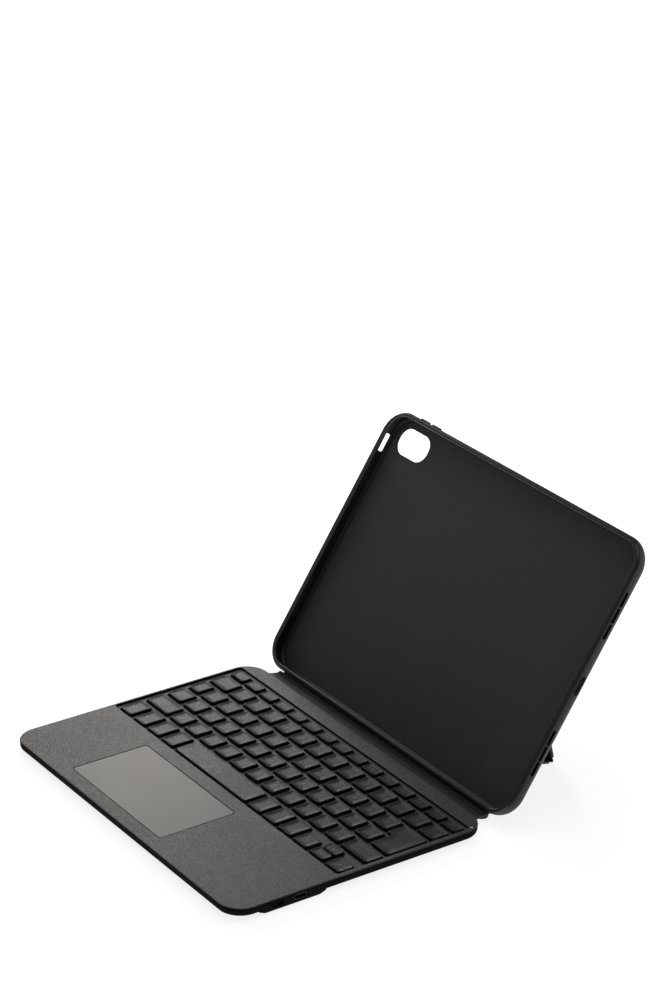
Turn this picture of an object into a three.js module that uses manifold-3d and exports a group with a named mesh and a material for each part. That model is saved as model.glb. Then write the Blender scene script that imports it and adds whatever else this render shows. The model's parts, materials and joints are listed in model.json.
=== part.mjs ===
// Keyboard case for a 10.9 inch tablet: a moulded tray that holds the tablet, a folding stand on the tray's back,
// a soft spine and a keyboard with a trackpad. Shown open for typing, standing on the table.
// Millimetres. +X to the user's right, +Y away from the user, +Z up, Z = 0 is the table.
import * as THREE from "three";
import { mergeVertices } from "three/addons/utils/BufferGeometryUtils.js";
import Module from "manifold-3d";

const wasm = await Module();
wasm.setup();

// ---------------------------------------------------------------- driving dimensions
// tablet that the tray holds
const TABLET_W = 248.6,
  TABLET_H = 179.5,
  TABLET_T = 7.0;

// keyboard
const KB_W = 251.0, // side to side
  KB_D = 178.3, // front edge to rear edge
  KB_R = 15, // plan corner radius
  DECK_TOP = 8.0, // top of the deck above the table
  DECK_T = 1.3, // deck thickness
  SHELL_BOTTOM = 2.6, // underside of the thin part of the bottom shell
  SHELL_TOP = 6.4, // parting line
  SHELL_WALL = 1.6,
  SHELL_FLOOR = 0.8,
  BAY_Y0 = 18.5, // thicker battery bay under the palm rest
  BAY_Y1 = 63.3,
  BAY_CHAMFER = 5,
  BAY_BOTTOM = 0.4,
  BAY_FLOOR = 0.9;

// key field
const WELL_X0 = -123.7,
  WELL_X1 = 122.0,
  WELL_Y0 = 73.0,
  WELL_Y1 = 167.6,
  KEY_TOP = 8.5,
  KEY_BOTTOM = 7.0,
  KEY_WEB_T = 0.4, // web that joins the caps of one row
  KEY_TRAVEL = 1.0,
  KEY_DRAFT = 0.45,
  PLATE_Z0 = 5.0,
  PLATE_Z1 = 5.8;

// trackpad
const PAD_X0 = -68.4,
  PAD_X1 = 31.4,
  PAD_Y0 = 10.3,
  PAD_Y1 = 62.9,
  PAD_GAP = 0.35;

// side ports (right side wall of the bay)
const PORT_Z = 4.2,
  USB_Y = 46.2,
  USB_W = 8.9,
  USB_H = 3.2,
  SWITCH_Y0 = 26.5,
  SWITCH_Y1 = 34.5,
  SWITCH_TRAVEL = 2.4;

// tray, in its own frame: x across, y up from its bottom edge, z towards the screen side (0 = front lip)
const TRAY_W = 255,
  TRAY_H = 184,
  TRAY_R = 17.5,
  TRAY_BACK = 11.0, // thickness
  TRAY_ROUND = 7.4, // radius of the rounding behind the side walls
  LIP_T = 1.8, // front lip in front of the glass
  LIP_COVER = 1.1, // how far the lip covers the tablet's edge
  SHELL_INSET = 5.6, // back plate edge, in from the outline
  BACK_Z = -9.3, // inner face of the back plate
  RECESS_DEPTH = 0.7,
  RECESS_W = 158.6,
  RECESS_V0 = 6.4,
  RECESS_V1 = 177.7;
const TRAY_LEAN = 33.24, // from upright, degrees
  TRAY_Y = 187.01, // bottom front edge, from the keyboard's front edge
  TRAY_Z = 7.67;

// camera hole in the back plate (seen from the front it is at the top left)
const CAM_X0 = -118.8,
  CAM_X1 = -88.3,
  CAM_V0 = 157.6,
  CAM_V1 = 175.6,
  CAM_R = 8.6;

// stand
const PANEL_W = 153.8,
  PANEL_T = 2.2,
  PANEL_Z = -10.6, // inner face when folded flat
  AXIS_Z = -11.2, // fold lines
  FOLD1_V = 17.4, // fixed strip to lower panel
  FOLD2_V = 78.9, // lower panel to main panel
  FOLD3_V = 157.8, // main panel to latch panel
  LATCH_TIP_V = 176.7,
  FOLD_HALF = 2.25, // half the soft gap between two boards
  SKIN_T = 0.6,
  FOOT_AXIS_Z = 0.97; // height of the lower fold line above the table when the stand is out

// spine
const SPINE_W = 220.4,
  SPINE_BEAD_A = 1.3,
  SPINE_BEAD_B = 1.6,
  SPINE_WEB = 1.6,
  HINGE_A_Y = 180.3,
  HINGE_A_Z = 5.0,
  HINGE_B_V = -2.4, // in the tray's frame
  HINGE_B_D = 3.6;

// the object's frame has its origin under the middle of its box
const ORIGIN_Y = 147.1;

// ---------------------------------------------------------------- materials
const mat = (color, roughness, metalness = 0) =>
  new THREE.MeshStandardMaterial({ color, roughness, metalness });
const M = {
  deck: mat(0x2c2a29, 0.72),
  shell: mat(0x17171a, 0.6),
  key: mat(0x2a2829, 0.55),
  keyPlate: mat(0x0c0c0d, 0.8),
  pad: mat(0x57534f, 0.38),
  tray: mat(0x2b2c30, 0.62),
  trayBack: mat(0x2d2e33, 0.66),
  lining: mat(0x35363a, 0.95),
  panel: mat(0x2e2e30, 0.7),
  skin: mat(0x262628, 0.75),
  loop: mat(0x4b4b4b, 0.9),
  steel: mat(0xb9babd, 0.35, 0.9),
  magnet: mat(0x9a9a9e, 0.3, 0.9),
  pcb: mat(0x14532b, 0.5),
  cell: mat(0x8d9196, 0.4, 0.3),
  rubber: mat(0x1a1a1b, 0.9),
  light: mat(0xf4f6f8, 0.25),
};

// ---------------------------------------------------------------- helpers
function toSolid(geometry) {
  const g = geometry.clone();
  g.deleteAttribute("normal");
  g.deleteAttribute("uv");
  const m = mergeVertices(g, 1e-4);
  return new wasm.Manifold(
    new wasm.Mesh({
      numProp: 3,
      vertProperties: new Float32Array(m.attributes.position.array),
      triVerts: new Uint32Array(m.index.array),
    }),
  );
}

function toGeometry(solid) {
  const m = solid.getMesh();
  const n = m.numProp;
  const v = new Float32Array(m.numVert * 3);
  for (let i = 0; i < m.numVert; i++)
    v.set(m.vertProperties.subarray(i * n, i * n + 3), i * 3);
  const g = new THREE.BufferGeometry();
  g.setAttribute("position", new THREE.BufferAttribute(v, 3));
  g.setIndex(new THREE.BufferAttribute(new Uint32Array(m.triVerts), 1));
  const flat = g.toNonIndexed();
  flat.computeVertexNormals();
  return flat;
}

const cut = (a, ...rest) => rest.reduce((s, b) => s.subtract(b), a);
const join = (a, ...rest) => rest.reduce((s, b) => s.add(b), a);

// rounded rectangle as a list of points, anticlockwise
function roundedRect(x0, x1, y0, y1, r, seg = 5) {
  const shape = [];
  const corners = [
    [x1 - r, y0 + r, -90],
    [x1 - r, y1 - r, 0],
    [x0 + r, y1 - r, 90],
    [x0 + r, y0 + r, 180],
  ];
  for (const [cx, cy, a0] of corners)
    for (let i = 0; i <= seg; i++) {
      const a = THREE.MathUtils.degToRad(a0 + (90 * i) / seg);
      shape.push(new THREE.Vector2(cx + r * Math.cos(a), cy + r * Math.sin(a)));
    }
  return shape;
}

// closed body through stacked outlines: levels = [[outline, z], ...] from low to high
function stack(levels) {
  const n = levels[0][0].length;
  const pos = [];
  for (const [pts, z] of levels) for (const p of pts) pos.push(p.x, p.y, z);
  const idx = [];
  for (let l = 0; l + 1 < levels.length; l++)
    for (let i = 0; i < n; i++) {
      const j = (i + 1) % n;
      const a = l * n + i,
        b = l * n + j,
        c = (l + 1) * n + j,
        d = (l + 1) * n + i;
      idx.push(a, b, c, a, c, d);
    }
  const low = THREE.ShapeUtils.triangulateShape(levels[0][0], []);
  for (const [a, b, c] of low) idx.push(a, c, b);
  const top = (levels.length - 1) * n;
  const high = THREE.ShapeUtils.triangulateShape(levels.at(-1)[0], []);
  for (const [a, b, c] of high) idx.push(top + a, top + b, top + c);
  const g = new THREE.BufferGeometry();
  g.setAttribute("position", new THREE.Float32BufferAttribute(pos, 3));
  g.setIndex(idx);
  return toSolid(g);
}

// the same outline inset by d at each level: levels = [[z, d], ...]
const roundedStack = (x0, x1, y0, y1, r, levels, seg = 5) =>
  stack(
    levels.map(([z, d]) => [
      roundedRect(x0 + d, x1 - d, y0 + d, y1 - d, Math.max(r - d, 0.2), seg),
      z,
    ]),
  );

function box(x0, x1, y0, y1, z0, z1) {
  const g = new THREE.BoxGeometry(x1 - x0, y1 - y0, z1 - z0);
  g.translate((x0 + x1) / 2, (y0 + y1) / 2, (z0 + z1) / 2);
  return toSolid(g);
}

// outline in the Y-Z plane, extruded along X
function alongX(points, x0, x1) {
  const g = new THREE.ExtrudeGeometry(
    new THREE.Shape(points.map(([y, z]) => new THREE.Vector2(y, z))),
    { depth: x1 - x0, bevelEnabled: false, curveSegments: 8 },
  );
  g.applyMatrix4(
    new THREE.Matrix4().makeBasis(
      new THREE.Vector3(0, 1, 0),
      new THREE.Vector3(0, 0, 1),
      new THREE.Vector3(1, 0, 0),
    ),
  );
  g.translate(x0, 0, 0);
  return toSolid(g);
}

// sheet of thickness t that follows a line of points in the Y-Z plane
function sheetOutline(line, t) {
  const left = [],
    right = [];
  line.forEach((p, i) => {
    const a = line[Math.max(i - 1, 0)],
      b = line[Math.min(i + 1, line.length - 1)];
    const d = new THREE.Vector2(b[0] - a[0], b[1] - a[1]).normalize();
    left.push([p[0] - (d.y * t) / 2, p[1] + (d.x * t) / 2]);
    right.push([p[0] + (d.y * t) / 2, p[1] - (d.x * t) / 2]);
  });
  return [...right, ...left.reverse()];
}

function cylinderZ(x, y, z0, z1, r, seg = 14) {
  const g = new THREE.CylinderGeometry(r, r, z1 - z0, seg);
  g.rotateX(Math.PI / 2);
  g.translate(x, y, (z0 + z1) / 2);
  return toSolid(g);
}

const object = new THREE.Group();
object.name = "tablet_keyboard_case";
const base = new THREE.Group(); // keyboard, spine, tray and stand, measured from the keyboard's front edge
base.position.set(0, -ORIGIN_Y, 0);
object.add(base);

function place(parent, name, solid, material) {
  const m = new THREE.Mesh(toGeometry(solid), material);
  m.name = name;
  parent.add(m);
  return m;
}

// ---------------------------------------------------------------- keyboard casing
const HX = KB_W / 2;
const LED = [121.9, 168.9];
const boss = [
  [-113, 9],
  [113, 9],
  [-104, 173.2],
  [104, 173.2],
];

// top deck: thin plate with eased edges, key well and trackpad window
let deck = roundedStack(-HX, HX, 0, KB_D, KB_R, [
  [DECK_TOP - DECK_T, 0.15],
  [DECK_TOP - 0.85, 0],
  [DECK_TOP - 0.4, 0.15],
  [DECK_TOP, 0.75],
], 8);
deck = cut(
  deck,
  roundedStack(WELL_X0, WELL_X1, WELL_Y0, WELL_Y1, 2.2, [[6, 0], [9, 0]], 3),
  roundedStack(
    PAD_X0 - PAD_GAP, PAD_X1 + PAD_GAP, PAD_Y0 - PAD_GAP, PAD_Y1 + PAD_GAP, 2.6, [[6, 0], [9, 0]], 4,
  ),
  cylinderZ(LED[0], LED[1], 6, 9, 0.95, 12),
);
for (const [x, y] of boss)
  deck = join(deck, cut(cylinderZ(x, y, 3.9, 6.9, 2.4), cylinderZ(x, y, 3.7, 6.5, 1.1, 10)));
place(base, "keyboard_top_deck", deck, M.deck);

// bottom shell: shallow tub, with the thicker battery bay across the palm rest
const shellLevels = [
  [SHELL_BOTTOM, 1.5],
  [SHELL_BOTTOM + 0.5, 0.7],
  [SHELL_BOTTOM + 1.4, 0.2],
  [SHELL_TOP, 0.15],
];
const bayOuter = alongX(
  [
    [BAY_Y0, SHELL_BOTTOM + 1.2],
    [BAY_Y0, SHELL_BOTTOM],
    [BAY_Y0 + BAY_CHAMFER, BAY_BOTTOM],
    [BAY_Y1 - BAY_CHAMFER, BAY_BOTTOM],
    [BAY_Y1, SHELL_BOTTOM],
    [BAY_Y1, SHELL_BOTTOM + 1.2],
  ],
  -HX - 1,
  HX + 1,
).intersect(
  roundedStack(-HX, HX, 0, KB_D, KB_R, [
    [0, 1.1],
    [BAY_BOTTOM + 0.7, 0.45],
    [SHELL_BOTTOM, 0.2],
    [SHELL_TOP, 0.15],
  ], 8),
);
let shell = join(roundedStack(-HX, HX, 0, KB_D, KB_R, shellLevels, 8), bayOuter);
const bayInner = alongX(
  [
    [BAY_Y0 + 1.4, SHELL_BOTTOM + SHELL_FLOOR + 0.2],
    [BAY_Y0 + BAY_CHAMFER + 0.4, BAY_BOTTOM + BAY_FLOOR],
    [BAY_Y1 - BAY_CHAMFER - 0.4, BAY_BOTTOM + BAY_FLOOR],
    [BAY_Y1 - 1.4, SHELL_BOTTOM + SHELL_FLOOR + 0.2],
  ],
  -HX + SHELL_WALL + 0.6,
  HX - SHELL_WALL - 0.6,
);
shell = cut(
  shell,
  roundedStack(-HX, HX, 0, KB_D, KB_R, [
    [SHELL_BOTTOM + SHELL_FLOOR, SHELL_WALL + 0.4],
    [SHELL_TOP + 1, SHELL_WALL],
  ], 8),
  bayInner,
  // socket, switch slot
  box(HX - 6, HX + 1, USB_Y - USB_W / 2 - 0.3, USB_Y + USB_W / 2 + 0.3, PORT_Z - USB_H / 2 - 0.3, PORT_Z + USB_H / 2 + 0.3),
  box(HX - 6, HX + 1, SWITCH_Y0, SWITCH_Y1, PORT_Z - 1.25, PORT_Z + 1.25),
);
for (const [x, y] of boss)
  shell = cut(shell, cylinderZ(x, y, 1.2, 4.2, 1.25, 10), cylinderZ(x, y, 2.2, 3.1, 2.3));
place(base, "keyboard_bottom_shell", shell, M.shell);

boss.forEach(([x, y], i) =>
  place(
    base,
    "case_screw_" + (i + 1),
    join(cylinderZ(x, y, 2.7, 2.9, 2.0, 12), cylinderZ(x, y, 2.8, 5.4, 0.8, 10)),
    M.steel,
  ),
);

// feet: one long strip under the bay, two tall pads at the rear
place(
  base,
  "foot_front_strip",
  roundedStack(-96, 96, 37.2, 44.8, 3.6, [[0, 0.3], [0.3, 0], [BAY_BOTTOM - 0.02, 0]], 4)
    .add(roundedStack(-96, 96, 37.2, 44.8, 3.6, [[BAY_BOTTOM - 0.1, 0], [BAY_BOTTOM - 0.02, 0]], 4)),
  M.rubber,
);
for (const [side, s] of [["left", -1], ["right", 1]])
  place(
    base,
    "foot_rear_" + side,
    roundedStack(
      Math.min(s * 60, s * 104), Math.max(s * 60, s * 104), 154, 161.5, 3.4, [[0, 0.7], [0.5, 0.35], [SHELL_BOTTOM - 0.02, 0]], 4,
    ),
    M.rubber,
  );

// ---------------------------------------------------------------- parts inside the keyboard
place(
  base,
  "key_support_plate",
  roundedStack(-123.2, 123.2, 62, 169.4, 8, [[PLATE_Z0, 0], [PLATE_Z1, 0]], 4),
  M.keyPlate,
);
place(
  base,
  "trackpad_plate",
  roundedStack(PAD_X0, PAD_X1, PAD_Y0, PAD_Y1, 2.3, [
    [DECK_TOP - 1.3, 0],
    [DECK_TOP - 0.3, 0],
    [DECK_TOP - 0.1, 0.2],
  ], 4),
  M.pad,
);
const padMid = (PAD_X0 + PAD_X1) / 2;
place(
  base,
  "trackpad_click_switch",
  join(box(padMid - 3, padMid + 3, 14.5, 20.5, 5.0, 5.7), cylinderZ(padMid, 17.5, 5.6, 6.2, 1.4, 12)),
  M.steel,
);
place(base, "battery_left", roundedStack(-98, -32, 25, 56.5, 1, [[1.6, 0], [4.5, 0]], 2), M.cell);
place(base, "battery_right", roundedStack(-28, 38, 25, 56.5, 1, [[1.6, 0], [4.5, 0]], 2), M.cell);
place(base, "main_circuit_board", box(58, 121.2, 25.5, 56.5, 1.6, 2.4), M.pcb);
place(
  base,
  "usb_c_socket",
  cut(
    box(HX - 8.4, HX - 0.6, USB_Y - USB_W / 2, USB_Y + USB_W / 2, PORT_Z - USB_H / 2, PORT_Z + USB_H / 2),
    cut(
      box(HX - 6.6, HX, USB_Y - USB_W / 2 + 0.35, USB_Y + USB_W / 2 - 0.35, PORT_Z - USB_H / 2 + 0.35, PORT_Z + USB_H / 2 - 0.35),
      box(HX - 7, HX - 1.6, USB_Y - 3.3, USB_Y + 3.3, PORT_Z - 0.35, PORT_Z + 0.35),
    ),
  ),
  M.steel,
);
place(
  base,
  "power_switch_slider",
  join(
    box(HX - 3.2, HX - 0.35, SWITCH_Y0 + 0.5, SWITCH_Y0 + 4.7, PORT_Z - 0.9, PORT_Z + 0.9),
    box(HX - 5.2, HX - 3.0, SWITCH_Y0 + 0.9, SWITCH_Y0 + 4.3, PORT_Z - 0.9, PORT_Z + 0.9),
    box(HX - 0.6, HX + 0.15, SWITCH_Y0 + 1.9, SWITCH_Y0 + 3.3, PORT_Z - 0.75, PORT_Z + 0.75),
  ),
  M.rubber,
);
place(base, "status_light_lens", cylinderZ(LED[0], LED[1], 6.5, 7.9, 0.65, 12), M.light);

// ---------------------------------------------------------------- keys
// rows: y0, y1 and the left and right edge of each cap
export const ROWS = {
  function_row: { y: [156.35, 164.75], keys: series(-119.35, 13.9, 16.19, 15) },
  number_row: { y: [140.65, 153.95], keys: [[-119.6, -100.65], ...series(-97.75, 14.2, 17.07, 12), [106.45, 121.25]] },
  upper_letter_row: { y: [124.95, 138.25], keys: [[-119.7, -108.55], ...series(-105.65, 14.1, 17.09, 12)] },
  home_letter_row: { y: [109.35, 122.45], keys: [[-119.7, -104.45], ...series(-101.55, 14.2, 17.1, 12)] },
  lower_letter_row: { y: [93.65, 106.75], keys: [[-119.7, -94.85], ...series(-92.25, 13.9, 17.11, 11), [95.55, 121.25]] },
  bottom_row: {
    y: [74.35, 90.85],
    keys: [...series(-119.75, 13.2, 16.25, 4), [-54.75, 23.25], ...series(25.6, 13.6, 16.2, 3)],
  },
};
function series(x, w, pitch, n) {
  return Array.from({ length: n }, (_, i) => [x + i * pitch, x + i * pitch + w]);
}
function cap(x0, x1, y0, y1, r = 1.5) {
  return roundedStack(x0, x1, y0, y1, r, [
    [KEY_BOTTOM, 0],
    [KEY_TOP - 0.45, KEY_DRAFT * 0.35],
    [KEY_TOP, KEY_DRAFT],
  ], 2);
}
function webbed(keys, y0, y1) {
  const caps = keys.map(([a, b]) => cap(a, b, y0, y1));
  const x0 = keys[0][0] + 3,
    x1 = keys.at(-1)[1] - 3,
    ym = (y0 + y1) / 2;
  return join(box(x0, x1, ym - 2.6, ym + 2.6, KEY_BOTTOM, KEY_BOTTOM + KEY_WEB_T), ...caps);
}
const R = ROWS;
const single = (name, k, y0, y1) => place(base, name, cap(k[0], k[1], y0, y1), M.key);
place(base, "keys_function_row", webbed(R.function_row.keys, ...R.function_row.y), M.key);
place(base, "keys_number_row", webbed(R.number_row.keys.slice(1, 13), ...R.number_row.y), M.key);
single("key_grave", R.number_row.keys[0], ...R.number_row.y);
single("key_backspace", R.number_row.keys[13], ...R.number_row.y);
place(base, "keys_upper_letter_row", webbed(R.upper_letter_row.keys.slice(1), ...R.upper_letter_row.y), M.key);
single("key_tab", R.upper_letter_row.keys[0], ...R.upper_letter_row.y);
place(base, "keys_home_letter_row", webbed(R.home_letter_row.keys.slice(1), ...R.home_letter_row.y), M.key);
single("key_caps_lock", R.home_letter_row.keys[0], ...R.home_letter_row.y);
place(base, "keys_lower_letter_row", webbed(R.lower_letter_row.keys.slice(1, 12), ...R.lower_letter_row.y), M.key);
single("key_shift_left", R.lower_letter_row.keys[0], ...R.lower_letter_row.y);
single("key_shift_right", R.lower_letter_row.keys[12], ...R.lower_letter_row.y);
place(base, "keys_modifier_left", webbed(R.bottom_row.keys.slice(0, 4), ...R.bottom_row.y), M.key);
single("key_space", R.bottom_row.keys[4], ...R.bottom_row.y);
place(base, "keys_modifier_right", webbed(R.bottom_row.keys.slice(5), ...R.bottom_row.y), M.key);
// enter key: two rows tall, narrower in its lower half
export const ENTER = { upper: [98.55, 121.25], lower: [103.35, 121.25], y: [109.35, 138.25], step: 124.6 };
place(
  base,
  "key_enter",
  join(
    cap(ENTER.upper[0], ENTER.upper[1], ENTER.step, ENTER.y[1]),
    cap(ENTER.lower[0], ENTER.lower[1], ENTER.y[0], ENTER.y[1]),
  ),
  M.key,
);
export const ARROWS = {
  left: [74.25, 88.15, 74.35, 86.35],
  up: [91.25, 104.85, 83.05, 90.85],
  down: [91.25, 104.85, 74.35, 82.65],
  right: [107.75, 121.4, 74.35, 86.35],
};
for (const [n, [x0, x1, y0, y1]] of Object.entries(ARROWS)) place(base, "key_arrow_" + n, cap(x0, x1, y0, y1, 1.2), M.key);

// ---------------------------------------------------------------- tray and stand frames
const tray = new THREE.Group();
tray.position.set(0, TRAY_Y, TRAY_Z);
tray.rotation.x = THREE.MathUtils.degToRad(90 - TRAY_LEAN);
base.add(tray);
base.updateMatrixWorld(true);

const hw = TRAY_W / 2;
// side profile: small front edge, wide rounding towards the back
const inset = (d) => TRAY_ROUND - Math.sqrt(Math.max(TRAY_ROUND ** 2 - (d - (TRAY_BACK - TRAY_ROUND)) ** 2, 0));
const bumperLevels = [
  ...[11, 10.75, 10.3, 9.5, 8.4, 7, 5.4].map((d) => [-d, inset(d)]),
  [-(TRAY_BACK - TRAY_ROUND), 0],
  [-1.5, 0],
  [-0.7, 0.3],
  [-0.2, 0.8],
  [0, 1.5],
];
let bumper = roundedStack(-hw, hw, 0, TRAY_H, TRAY_R, bumperLevels, 8);
const bx = (TRAY_W - TABLET_W) / 2 - 0.3,
  by = (TRAY_H - TABLET_H) / 2 - 0.3;
bumper = cut(
  bumper,
  roundedStack(-hw + bx, hw - bx, by, TRAY_H - by, 14.2, [[-9.2, 2], [-7.6, 0], [-LIP_T, 0]], 7),
  // glass window, the lip's inner edge slopes back
  roundedStack(-hw + bx + LIP_COVER, hw - bx - LIP_COVER, by + LIP_COVER, TRAY_H - by - LIP_COVER, 12.6, [[-LIP_T - 0.5, 0.2], [-LIP_T, 0.2], [-0.5, 0.1], [0.01, -0.45]], 7),
  // seat of the back plate
  roundedStack(-hw + SHELL_INSET - 0.3, hw - SHELL_INSET + 0.3, SHELL_INSET - 0.3, TRAY_H - SHELL_INSET + 0.3, 12.2, [[-12, 0], [-9.2, 0]], 7),
);
const slot = (side, v0, v1) =>
  side > 0 ? box(hw - 5, hw + 1, v0, v1, -4.8, -2.3) : box(-hw - 1, -hw + 5, v0, v1, -4.8, -2.3);
for (const [v0, v1] of [[123.2, 132.8], [133.8, 143.3], [144.3, 153.8], [32.3, 41.5], [42.3, 51.8], [52.8, 62.3]])
  bumper = cut(bumper, slot(1, v0, v1));
for (const [v0, v1] of [[117.8, 127.0], [128.0, 137.2], [138.2, 146.0], [32.3, 41.5], [42.3, 51.8], [52.8, 62.3]])
  bumper = cut(bumper, slot(-1, v0, v1));
// charging port hole with a splayed mouth, power button notch, volume pad windows
const portHole = roundedStack(86.2, 98.4, -7.75, -1.85, 2.4, [[hw - 6, 0.1], [hw - 1.6, 0.1], [hw + 0.5, -0.4]], 4);
const turnX = new THREE.Matrix4().makeBasis(
  new THREE.Vector3(0, 1, 0),
  new THREE.Vector3(0, 0, 1),
  new THREE.Vector3(1, 0, 0),
);
const turned = (solid) => toSolid(toGeometry(solid).applyMatrix4(turnX));
bumper = cut(bumper, turned(portHole));
bumper = cut(
  bumper,
  alongX([[147.6, -TRAY_BACK - 1], [149.6, -TRAY_BACK + 2.2], [149.6, -2.6], [167.6, -2.6], [167.6, -TRAY_BACK + 2.2], [169.0, -TRAY_BACK - 1]], -hw - 1, -hw + 1.7),
  alongX([[153.0, -7.2], [153.0, -2.6], [165.5, -2.6], [165.5, -7.2]], -hw - 1, -hw + 5),
);
const VOLUME = { down: [-103.2, -94.0], up: [-91.4, -82.2] };
for (const [x0, x1] of Object.values(VOLUME))
  bumper = cut(bumper, box(x0 - 0.4, x1 + 0.4, TRAY_H - 6, TRAY_H + 1, -6.6, -3.0));
place(tray, "tray_bumper", bumper, M.tray);
for (const [n, [x0, x1]] of Object.entries(VOLUME))
  place(
    tray,
    "volume_" + n + "_pad",
    join(
      box(x0, x1, TRAY_H - 3.4, TRAY_H + 0.3, -6.2, -3.4),
      box(x0 + 0.7, x1 - 0.7, TRAY_H + 0.2, TRAY_H + 0.75, -5.8, -3.8),
    ),
    M.tray,
  );

let plate = roundedStack(-hw + SHELL_INSET, hw - SHELL_INSET, SHELL_INSET, TRAY_H - SHELL_INSET, 11.9, [
  [-TRAY_BACK, 0.5],
  [-TRAY_BACK + 0.2, 0],
  [BACK_Z, 0],
], 7);
plate = cut(
  plate,
  roundedStack(-RECESS_W / 2, RECESS_W / 2, RECESS_V0, RECESS_V1, 2.5, [[-12, 0], [-TRAY_BACK + RECESS_DEPTH, 0]], 3),
  roundedStack(CAM_X0, CAM_X1, CAM_V0, CAM_V1, CAM_R, [[-11.5, -1.5], [-TRAY_BACK, -1.0], [-TRAY_BACK + 1.0, 0], [-8, 0]], 6),
  roundedStack(-70.3, 70.3, 78.7, 176.3, 2, [[-9.9, 0], [-8, 0]], 2),
);
place(tray, "tray_back_shell", plate, M.trayBack);
place(tray, "steel_catch_plate", roundedStack(-70, 70, 79, 176, 2, [[-9.85, 0], [-9.4, 0]], 2), M.steel);
place(
  tray,
  "tray_lining",
  cut(
    roundedStack(-hw + bx + 2.2, hw - bx - 2.2, by + 2.2, TRAY_H - by - 2.2, 12, [[-9.15, 0], [-8.85, 0]], 6),
    roundedStack(CAM_X0 - 0.6, CAM_X1 + 0.6, CAM_V0 - 0.6, CAM_V1 + 0.6, CAM_R, [[-10, 0], [-8, 0]], 6),
  ),
  M.lining,
);

// fixed strip of the stand, glued in the recess
place(
  tray,
  "stand_fixed_strip",
  roundedStack(-RECESS_W / 2 + 0.4, RECESS_W / 2 - 0.4, RECESS_V0 + 0.4, FOLD1_V - FOLD_HALF, 2, [
    [-11.8, 0.5],
    [-11.4, 0],
    [-TRAY_BACK + RECESS_DEPTH - 0.3, 0],
  ], 3),
  M.panel,
);

// fold lines of the stand in the table frame
const lean = THREE.MathUtils.degToRad(TRAY_LEAN);
const up = [Math.sin(lean), Math.cos(lean)];
const back = [Math.cos(lean), -Math.sin(lean)];
const onTray = (v, d) => [TRAY_Y + up[0] * v + back[0] * d, TRAY_Z + up[1] * v + back[1] * d];
const LC = FOLD2_V - FOLD1_V,
  LB = FOLD3_V - FOLD2_V;
const P1 = onTray(FOLD1_V, -AXIS_Z);
const P2 = [P1[0] + Math.sqrt(LC * LC - (P1[1] - FOOT_AXIS_Z) ** 2), FOOT_AXIS_Z];
const qy = P2[0] - P1[0],
  qz = P2[1] - P1[1];
const proj = qy * up[0] + qz * up[1];
const S3 = proj + Math.sqrt(proj * proj - (qy * qy + qz * qz) + LB * LB);
const P3 = [P1[0] + up[0] * S3, P1[1] + up[1] * S3];
const upDeg = 90 - TRAY_LEAN;
const lowerDeg = THREE.MathUtils.radToDeg(Math.atan2(P2[1] - P1[1], P2[0] - P1[0]));
const mainDeg = THREE.MathUtils.radToDeg(Math.atan2(P3[1] - P2[1], P3[0] - P2[0]));
const PB = onTray(HINGE_B_V, HINGE_B_D);
const PA = [HINGE_A_Y, HINGE_A_Z];

// Each panel is drawn in a frame on its lower fold line: y along the panel, z towards the tray side.
function panelFrame(p, deg) {
  const g = new THREE.Group();
  g.position.set(0, p[0], p[1]);
  g.rotation.x = THREE.MathUtils.degToRad(deg);
  base.add(g);
  return g;
}
const zi = PANEL_Z - AXIS_Z, // inner face above the fold axis
  zo = zi - PANEL_T; // outer face
const board = (y0, y1) =>
  roundedStack(-PANEL_W / 2, PANEL_W / 2, y0, y1, 2.4, [
    [zo, 0.7],
    [zo + 0.5, 0.1],
    [zi - 0.3, 0],
    [zi, 0.25],
  ], 3);
const lower = panelFrame(P1, lowerDeg);
const main = panelFrame(P2, mainDeg);
const latch = panelFrame(P3, upDeg);
place(lower, "stand_lower_panel", board(FOLD_HALF, LC - FOLD_HALF), M.panel);
place(main, "stand_main_panel", board(FOLD_HALF, LB - FOLD_HALF), M.panel);
const latchL = LATCH_TIP_V - FOLD3_V;
let latchBoard = board(FOLD_HALF, latchL);
for (const s of [-1, 1])
  latchBoard = cut(latchBoard, box(s > 0 ? 21.7 : -62.3, s > 0 ? 62.3 : -21.7, 4.7, 14.3, zi - 1.7, zi + 1));
place(latch, "stand_latch_panel", latchBoard, M.panel);
for (const [n, s] of [["left", -1], ["right", 1]])
  place(latch, "latch_magnet_" + n, box(s > 0 ? 22 : -62, s > 0 ? 62 : -22, 5, 14, zi - 1.4, zi - 0.2), M.magnet);

// woven elastic loop on the main panel, lying nearly flat
const loopY0 = 50.8,
  loopY1 = 70.1;
place(
  main,
  "pencil_loop",
  cut(
    roundedStack(-16.3, 16.3, loopY0, loopY1, 0.8, [[zo - 2.5, 1.6], [zo - 1.5, 0.4], [zo - 0.3, 0]], 2),
    box(-13.6, 13.6, loopY0 - 1, loopY1 + 1, zo - 1.6, zo - 0.75),
  ),
  M.loop,
);

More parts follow.
